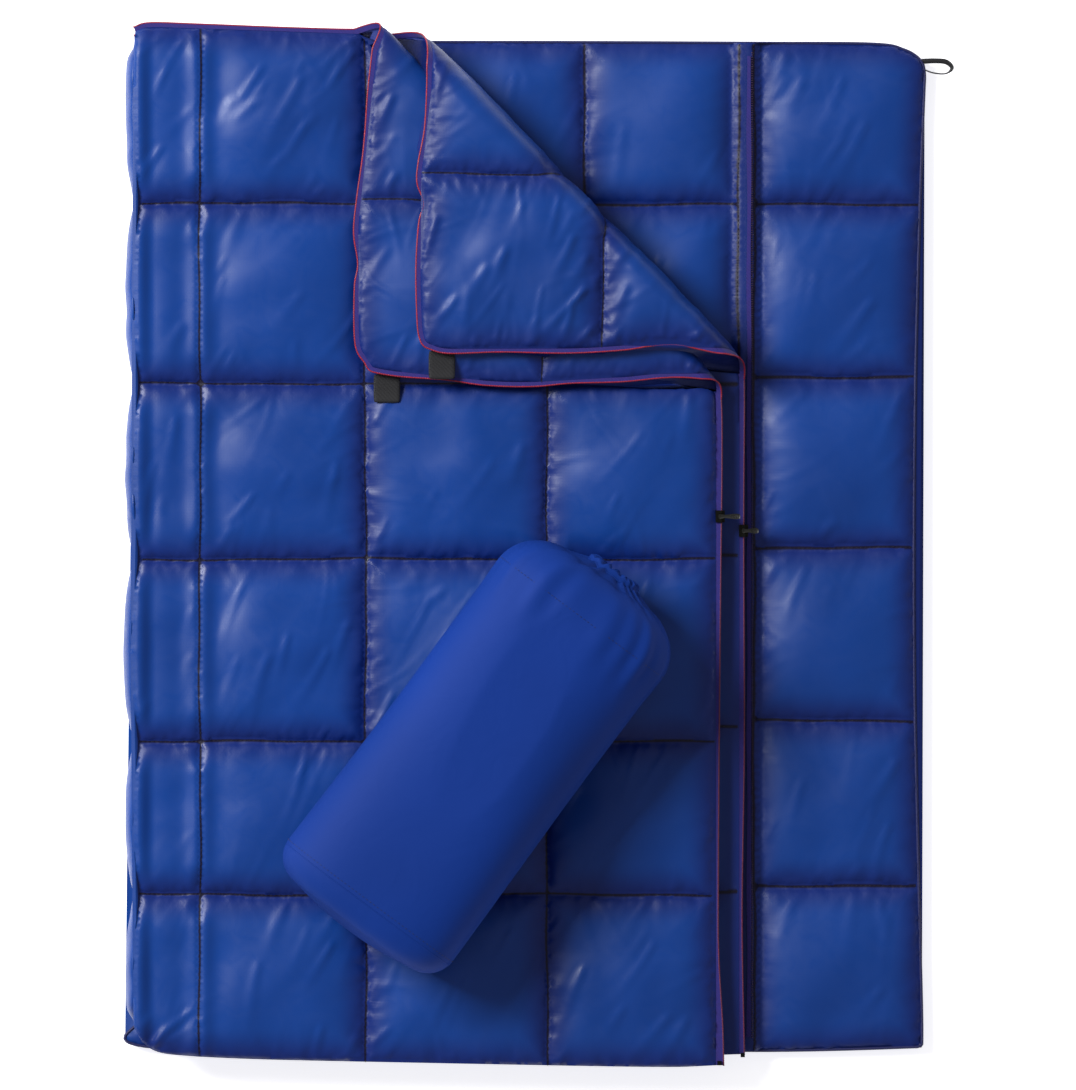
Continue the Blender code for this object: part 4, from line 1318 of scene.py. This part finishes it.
class SLEEPINGBAG_OT_tabs(BagOperator):
    """Make the hook tabs at the tips of the turned-over corners"""

    bl_idname = "sleeping_bag.tabs"
    bl_label = "Hook Tabs"

    def make(self, _scene):
        TREES["hooks"] = grid_tree("Hooks on a patch")
        for cover in (INNER, OUTER):
            name = cover.name + "_tab"
            low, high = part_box(name)
            plate = self.plate(name + "_webbing", low, high)
            hand_over(plate, name, "webbing", name)
            centre = np.array(((low[0] + high[0]) / 2, (low[1] + high[1]) / 2))
            half = np.array((high[0] - low[0], high[1] - low[1])) / 2 - 0.004
            corners = [(centre[0] + sx * half[0], centre[1] + sy * half[1], high[2]) for sx, sy in
                       ((-1, -1), (1, -1), (1, 1), (-1, 1))]
            patch = mesh_object(name + "_patch", corners, [(0, 1, 2, 3)], "webbing")
            hooks = grow(name + "_hooks", patch, TREES["hooks"], "webbing", Spacing=0.0017, Thickness=0.0009,
                         Height=0.0016, Seed=7)
            hand_over(hooks, name, "webbing")
            sides = ((-1, -1), (0, -1), (1, -1), (1, 0), (1, 1), (0, 1), (-1, 1), (-1, 0))
            box = smooth_path([(centre[0] + sx * (half[0] + 0.001), centre[1] + sy * (half[1] + 0.001))
                               for sx, sy in sides], 0.003, closed=True)
            sewn = beads(name + "_sewing", [np.column_stack([box, np.full(len(box), high[2] + 0.0002)])],
                         "thread", 0.0042, 0.003, 0.0009, 0.0009)
            hand_over(sewn, name, "webbing")

    @staticmethod
    def plate(name, low, high):
        """A doubled webbing patch with soft corners, curling up slightly towards its free end."""
        rows = cols = 14
        points = []
        for top in (0, 1):
            for i in range(rows + 1):
                for j in range(cols + 1):
                    u, v = j / cols * 2 - 1, i / rows * 2 - 1
                    soft = 1 - 0.06 * (u * v) ** 4
                    x = (low[0] + high[0]) / 2 + u * soft * (high[0] - low[0]) / 2
                    y = (low[1] + high[1]) / 2 + v * soft * (high[1] - low[1]) / 2
                    lift = 0.0012 * max(0.0, -v) ** 2
                    rim = 0.35 * max(abs(u), abs(v)) ** 12
                    z = low[2] + (high[2] - low[2]) * (1 - rim if top else rim) + lift
                    points.append((x, y, z))
        count = (rows + 1) * (cols + 1)
        faces = []
        for i in range(rows):
            for j in range(cols):
                a = i * (cols + 1) + j
                quad = (a, a + 1, a + cols + 2, a + cols + 1)
                faces.append(tuple(reversed(quad)))
                faces.append(tuple(q + count for q in quad))
        rim = [*range(cols)] + [i * (cols + 1) + cols for i in range(rows)]
        rim += [rows * (cols + 1) + j for j in range(cols, 0, -1)]
        rim += [i * (cols + 1) for i in range(rows, 0, -1)]
        for a, b in zip(rim, rim[1:] + rim[:1]):
            faces.append((a, b, b + count, a + count))
        return outward(mesh_object(name, points, faces, "webbing"), merge=0.0)


class SLEEPINGBAG_OT_loop(BagOperator):
    """Make the hanging loop: one strip of webbing, bent round and twisted as it returns"""

    bl_idname = "sleeping_bag.loop"
    bl_label = "Hanging Loop"

    def make(self, _scene):
        low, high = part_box("hanging_loop")
        cy = (low[1] + high[1]) / 2
        middle = (low[2] + high[2]) / 2
        reach = high[0]
        path = smooth_path([
            (low[0] - 0.004, cy + 0.011, middle + 0.001), (low[0] + 0.018, cy + 0.012, middle + 0.002),
            (reach - 0.014, cy + 0.010, middle + 0.002), (reach - 0.003, cy - 0.001, middle + 0.001),
            (reach - 0.014, cy - 0.011, middle), (low[0] + 0.018, cy - 0.010, middle),
            (low[0] - 0.002, cy - 0.003, middle)], 0.0025)
        width, thick = 0.009, 0.0014
        rings = []
        along = np.gradient(path, axis=0)
        along /= np.linalg.norm(along, axis=1)[:, None]
        for i, (place, a) in enumerate(zip(path, along)):
            t = i / (len(path) - 1)
            twist = math.radians(8 + 70 * min(1.0, max(0.0, (t - 0.35) / 0.25)))
            side = np.cross((0, 0, 1.0), a)
            side /= np.linalg.norm(side)
            wide = side * math.cos(twist) + np.array((0, 0, 1.0)) * math.sin(twist)
            deep = np.cross(a, wide)
            rings.append([place + wide * (u * width / 2) + deep * (v * thick / 2) for u, v in
                          ((-1, -1), (0, -1.15), (1, -1), (1.06, 0), (1, 1), (0, 1.15), (-1, 1), (-1.06, 0))])
        strip = loft("hanging_loop_webbing", rings, "webbing")
        hand_over(strip, "hanging_loop", "webbing", "hanging_loop")


# ---------------------------------------------------------------- operators: sack and stage

class SLEEPINGBAG_OT_sack(BagOperator):
    """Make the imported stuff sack, flat at its base and gathered at its mouth"""

    bl_idname = "sleeping_bag.sack"
    bl_label = "Stuff Sack"

    def make(self, _scene):
        barrel, base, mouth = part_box("sack_contents"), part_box("sack_base"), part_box("sack_mouth")
        ends = [np.array([(box[0][k] + box[1][k]) / 2 for k in range(2)]) for box in (base, mouth)]
        axis = (ends[1] - ends[0]) / np.linalg.norm(ends[1] - ends[0])
        across = np.array((-axis[1], axis[0]))
        centre = np.array([(barrel[0][k] + barrel[1][k]) / 2 for k in range(2)])
        low, high = base[0][2], base[1][2]
        length, half_width, half_height = 0.812, 0.183, (high - low) / 2
        rng = np.random.default_rng(51)
        lumps = [(rng.uniform(2, 9), int(rng.integers(1, 5)), rng.uniform(0, 6.28), rng.uniform(0.4, 1))
                 for _ in range(9)]
        pleats = [(int(k), rng.uniform(0, 6.28), rng.uniform(0.5, 1)) for k in rng.integers(9, 27, 7)]

        def point(run, share, angle, gather):
            c, d = math.cos(angle), math.sin(angle)
            side, rise = (math.copysign(abs(v) ** 0.74, v) for v in (c, d))
            pleat = sum(a * math.sin(n * angle + p + 5 * run) for n, p, a in pleats)
            swell = 0.0011 * sum(a * math.sin(f * run + n * angle + p) for f, n, p, a in lumps) * share
            swell += 0.0009 * pleat * gather * share ** 0.5
            run -= 0.0022 * pleat * gather * (1 - share)
            x, y = centre + axis * (run - length / 2) + across * ((half_width * share + swell) * side)
            z = (low + high) / 2 + (half_height * share + swell) * rise
            return (x, y, min(max(z, low + 0.001), high))

        around = 176
        angles = [2 * math.pi * k / around for k in range(around)]
        rings = [[point(run, share, angle, gather) for angle in angles]
                 for run, share, gather in self.profile(length, half_width)]
        sack = loft("stuff_sack", rings, "sack", merge=1e-6)
        hand_over(sack, "sack", "sack", "sack_base", "sack_barrel", "sack_mouth", "sack_drawcord_channel",
                  "sack_contents")
        rounds = [2 * math.pi * k / 240 for k in range(241)]
        for name, run, share, gather in (("sack_base_piping", 0.060, 0.99, 0.0),
                                         ("sack_hem_piping", length - 0.012, 0.30, 0.6)):
            ring = np.array([point(run, share + 0.003, angle, gather) for angle in rounds[:-1]])
            piping = tube(name, ring, 1.3 * MM, "sack", sides=6, closed=True)
            hand_over(piping, "sack", "sack")
        lines = [np.array([point(run, share, angle, 0.0) for angle in rounds])
                 for run, share in ((0.068, 1.004), (length - 0.105, 1.004))]
        hand_over(stitching("sack_stitches", lines), "sack", "sack")

    @staticmethod
    def profile(length, half_width):
        """Rings from the base's middle to the mouth's: run, share of the width, gathering."""
        base, mouth, channel = 0.056, 0.088, 0.30
        disc = 1 - base / half_width
        dome = 0.013
        rings = [(dome * t * t, max(0.01, disc * t), 0.0) for t in np.linspace(0, 1, 16)]
        rings += [(dome + base * (1 - math.cos(a)), disc + (1 - disc) * math.sin(a), 0.0)
                  for a in np.linspace(0.1, math.pi / 2, 14)]
        start, end = rings[-1][0], length - mouth - 0.024
        rings += [(run, 1.0, smoothstep(run, end - 0.11, end) ** 2)
                  for run in np.linspace(start, end, 120)[1:]]
        left = 1 - mouth / half_width
        rings += [(end + mouth * math.sin(a), left + (1 - left) * math.cos(a), 1.0)
                  for a in np.linspace(0.1, math.pi / 2, 16)]
        rings += [(end + mouth + 0.012 * t, left + (channel - left) * t, 1.0)
                  for t in np.linspace(0, 1, 16)[1:]]
        rings += [(length - 0.006 + 0.006 * math.sin(a), channel - 0.07 + 0.07 * math.cos(a), 0.8)
                  for a in np.linspace(0.3, math.pi, 9)]
        rings += [(length - 0.006 - 0.030 * t, channel - 0.14 - 0.14 * t, 0.6)
                  for t in np.linspace(0, 1, 8)[1:]]
        return rings


def area_light(name, place, size, power, colour=(1.0, 1.0, 1.0)):
    light = bpy.data.lights.new(name, "AREA")
    light.size = size
    light.energy = power
    light.color = colour
    lamp = bpy.data.objects.new(name, light)
    bpy.context.collection.objects.link(lamp)
    lamp.location = place
    lamp.rotation_euler = (-Vector(place)).to_track_quat("-Z", "Y").to_euler()


class SLEEPINGBAG_OT_stage(BagOperator):
    """Set up the floor, the window light and the camera straight above"""

    bl_idname = "sleeping_bag.stage"
    bl_label = "Stage"

    def make(self, _scene):
        corners = [(x, y, -0.001) for x, y in ((-30, -30), (30, -30), (30, 30), (-30, 30))]
        floor = mesh_object("studio_floor", corners, [(0, 1, 2, 3)], "floor")
        world = bpy.data.worlds.new("studio")
        world.use_nodes = True
        background = world.node_tree.nodes["Background"]
        background.inputs["Color"].default_value = (0.93, 0.91, 1.0, 1)
        background.inputs["Strength"].default_value = 0.33
        bpy.context.scene.world = world
        bpy.context.scene.view_settings.view_transform = "Standard"
        area_light("window", (-6.8, 4.2, 7.2), 4.0, 1520)
        camera = bpy.data.cameras.new("camera")
        view = bpy.data.objects.new("camera", camera)
        bpy.context.collection.objects.link(view)
        # The view's long side spans this much at the covers' height, from far enough to look nearly flat.
        span, distance = 1.984, 24.0
        camera.sensor_width = 36.0
        camera.lens = camera.sensor_width * distance / span
        view.location = (0.0, 0.0, OUTER.mid + distance)
        bpy.context.scene.camera = view


CLASSES = (
    BagQuilting, BagTrim, BagColours, SLEEPINGBAG_OT_back, SLEEPINGBAG_OT_inner, SLEEPINGBAG_OT_outer,
    SLEEPINGBAG_OT_gusset, SLEEPINGBAG_OT_zips, SLEEPINGBAG_OT_sliders, SLEEPINGBAG_OT_tabs,
    SLEEPINGBAG_OT_loop, SLEEPINGBAG_OT_sack, SLEEPINGBAG_OT_stage,
)
STEPS = ("stage", "back", "inner", "outer", "gusset", "zips", "sliders", "tabs", "loop", "sack")


class SLEEPINGBAG_PT_panel(bpy.types.Panel):
    """Lists the bag's sizes, colours and steps"""

    bl_label = "Sleeping Bag"
    bl_space_type = "VIEW_3D"
    bl_region_type = "UI"
    bl_category = "Sleeping Bag"

    def draw(self, context):
        for group in (context.scene.bag_quilting, context.scene.bag_trim, context.scene.bag_colours):
            box = self.layout.box()
            for name in group.bl_rna.properties.keys():
                if name not in ("rna_type", "name"):
                    box.prop(group, name)
        for step in STEPS:
            self.layout.operator("sleeping_bag." + step)


def register():
    for cls in (*CLASSES, SLEEPINGBAG_PT_panel):
        bpy.utils.register_class(cls)
    bpy.types.Scene.bag_quilting = bpy.props.PointerProperty(type=BagQuilting)
    bpy.types.Scene.bag_trim = bpy.props.PointerProperty(type=BagTrim)
    bpy.types.Scene.bag_colours = bpy.props.PointerProperty(type=BagColours)


def unregister():
    del bpy.types.Scene.bag_quilting
    del bpy.types.Scene.bag_trim
    del bpy.types.Scene.bag_colours
    for cls in reversed((*CLASSES, SLEEPINGBAG_PT_panel)):
        bpy.utils.unregister_class(cls)


def main():
    register()
    make_materials(bpy.context.scene.bag_colours)
    for step in STEPS:
        getattr(bpy.ops.sleeping_bag, step)()
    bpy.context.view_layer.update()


if __name__ == "__main__":
    main()
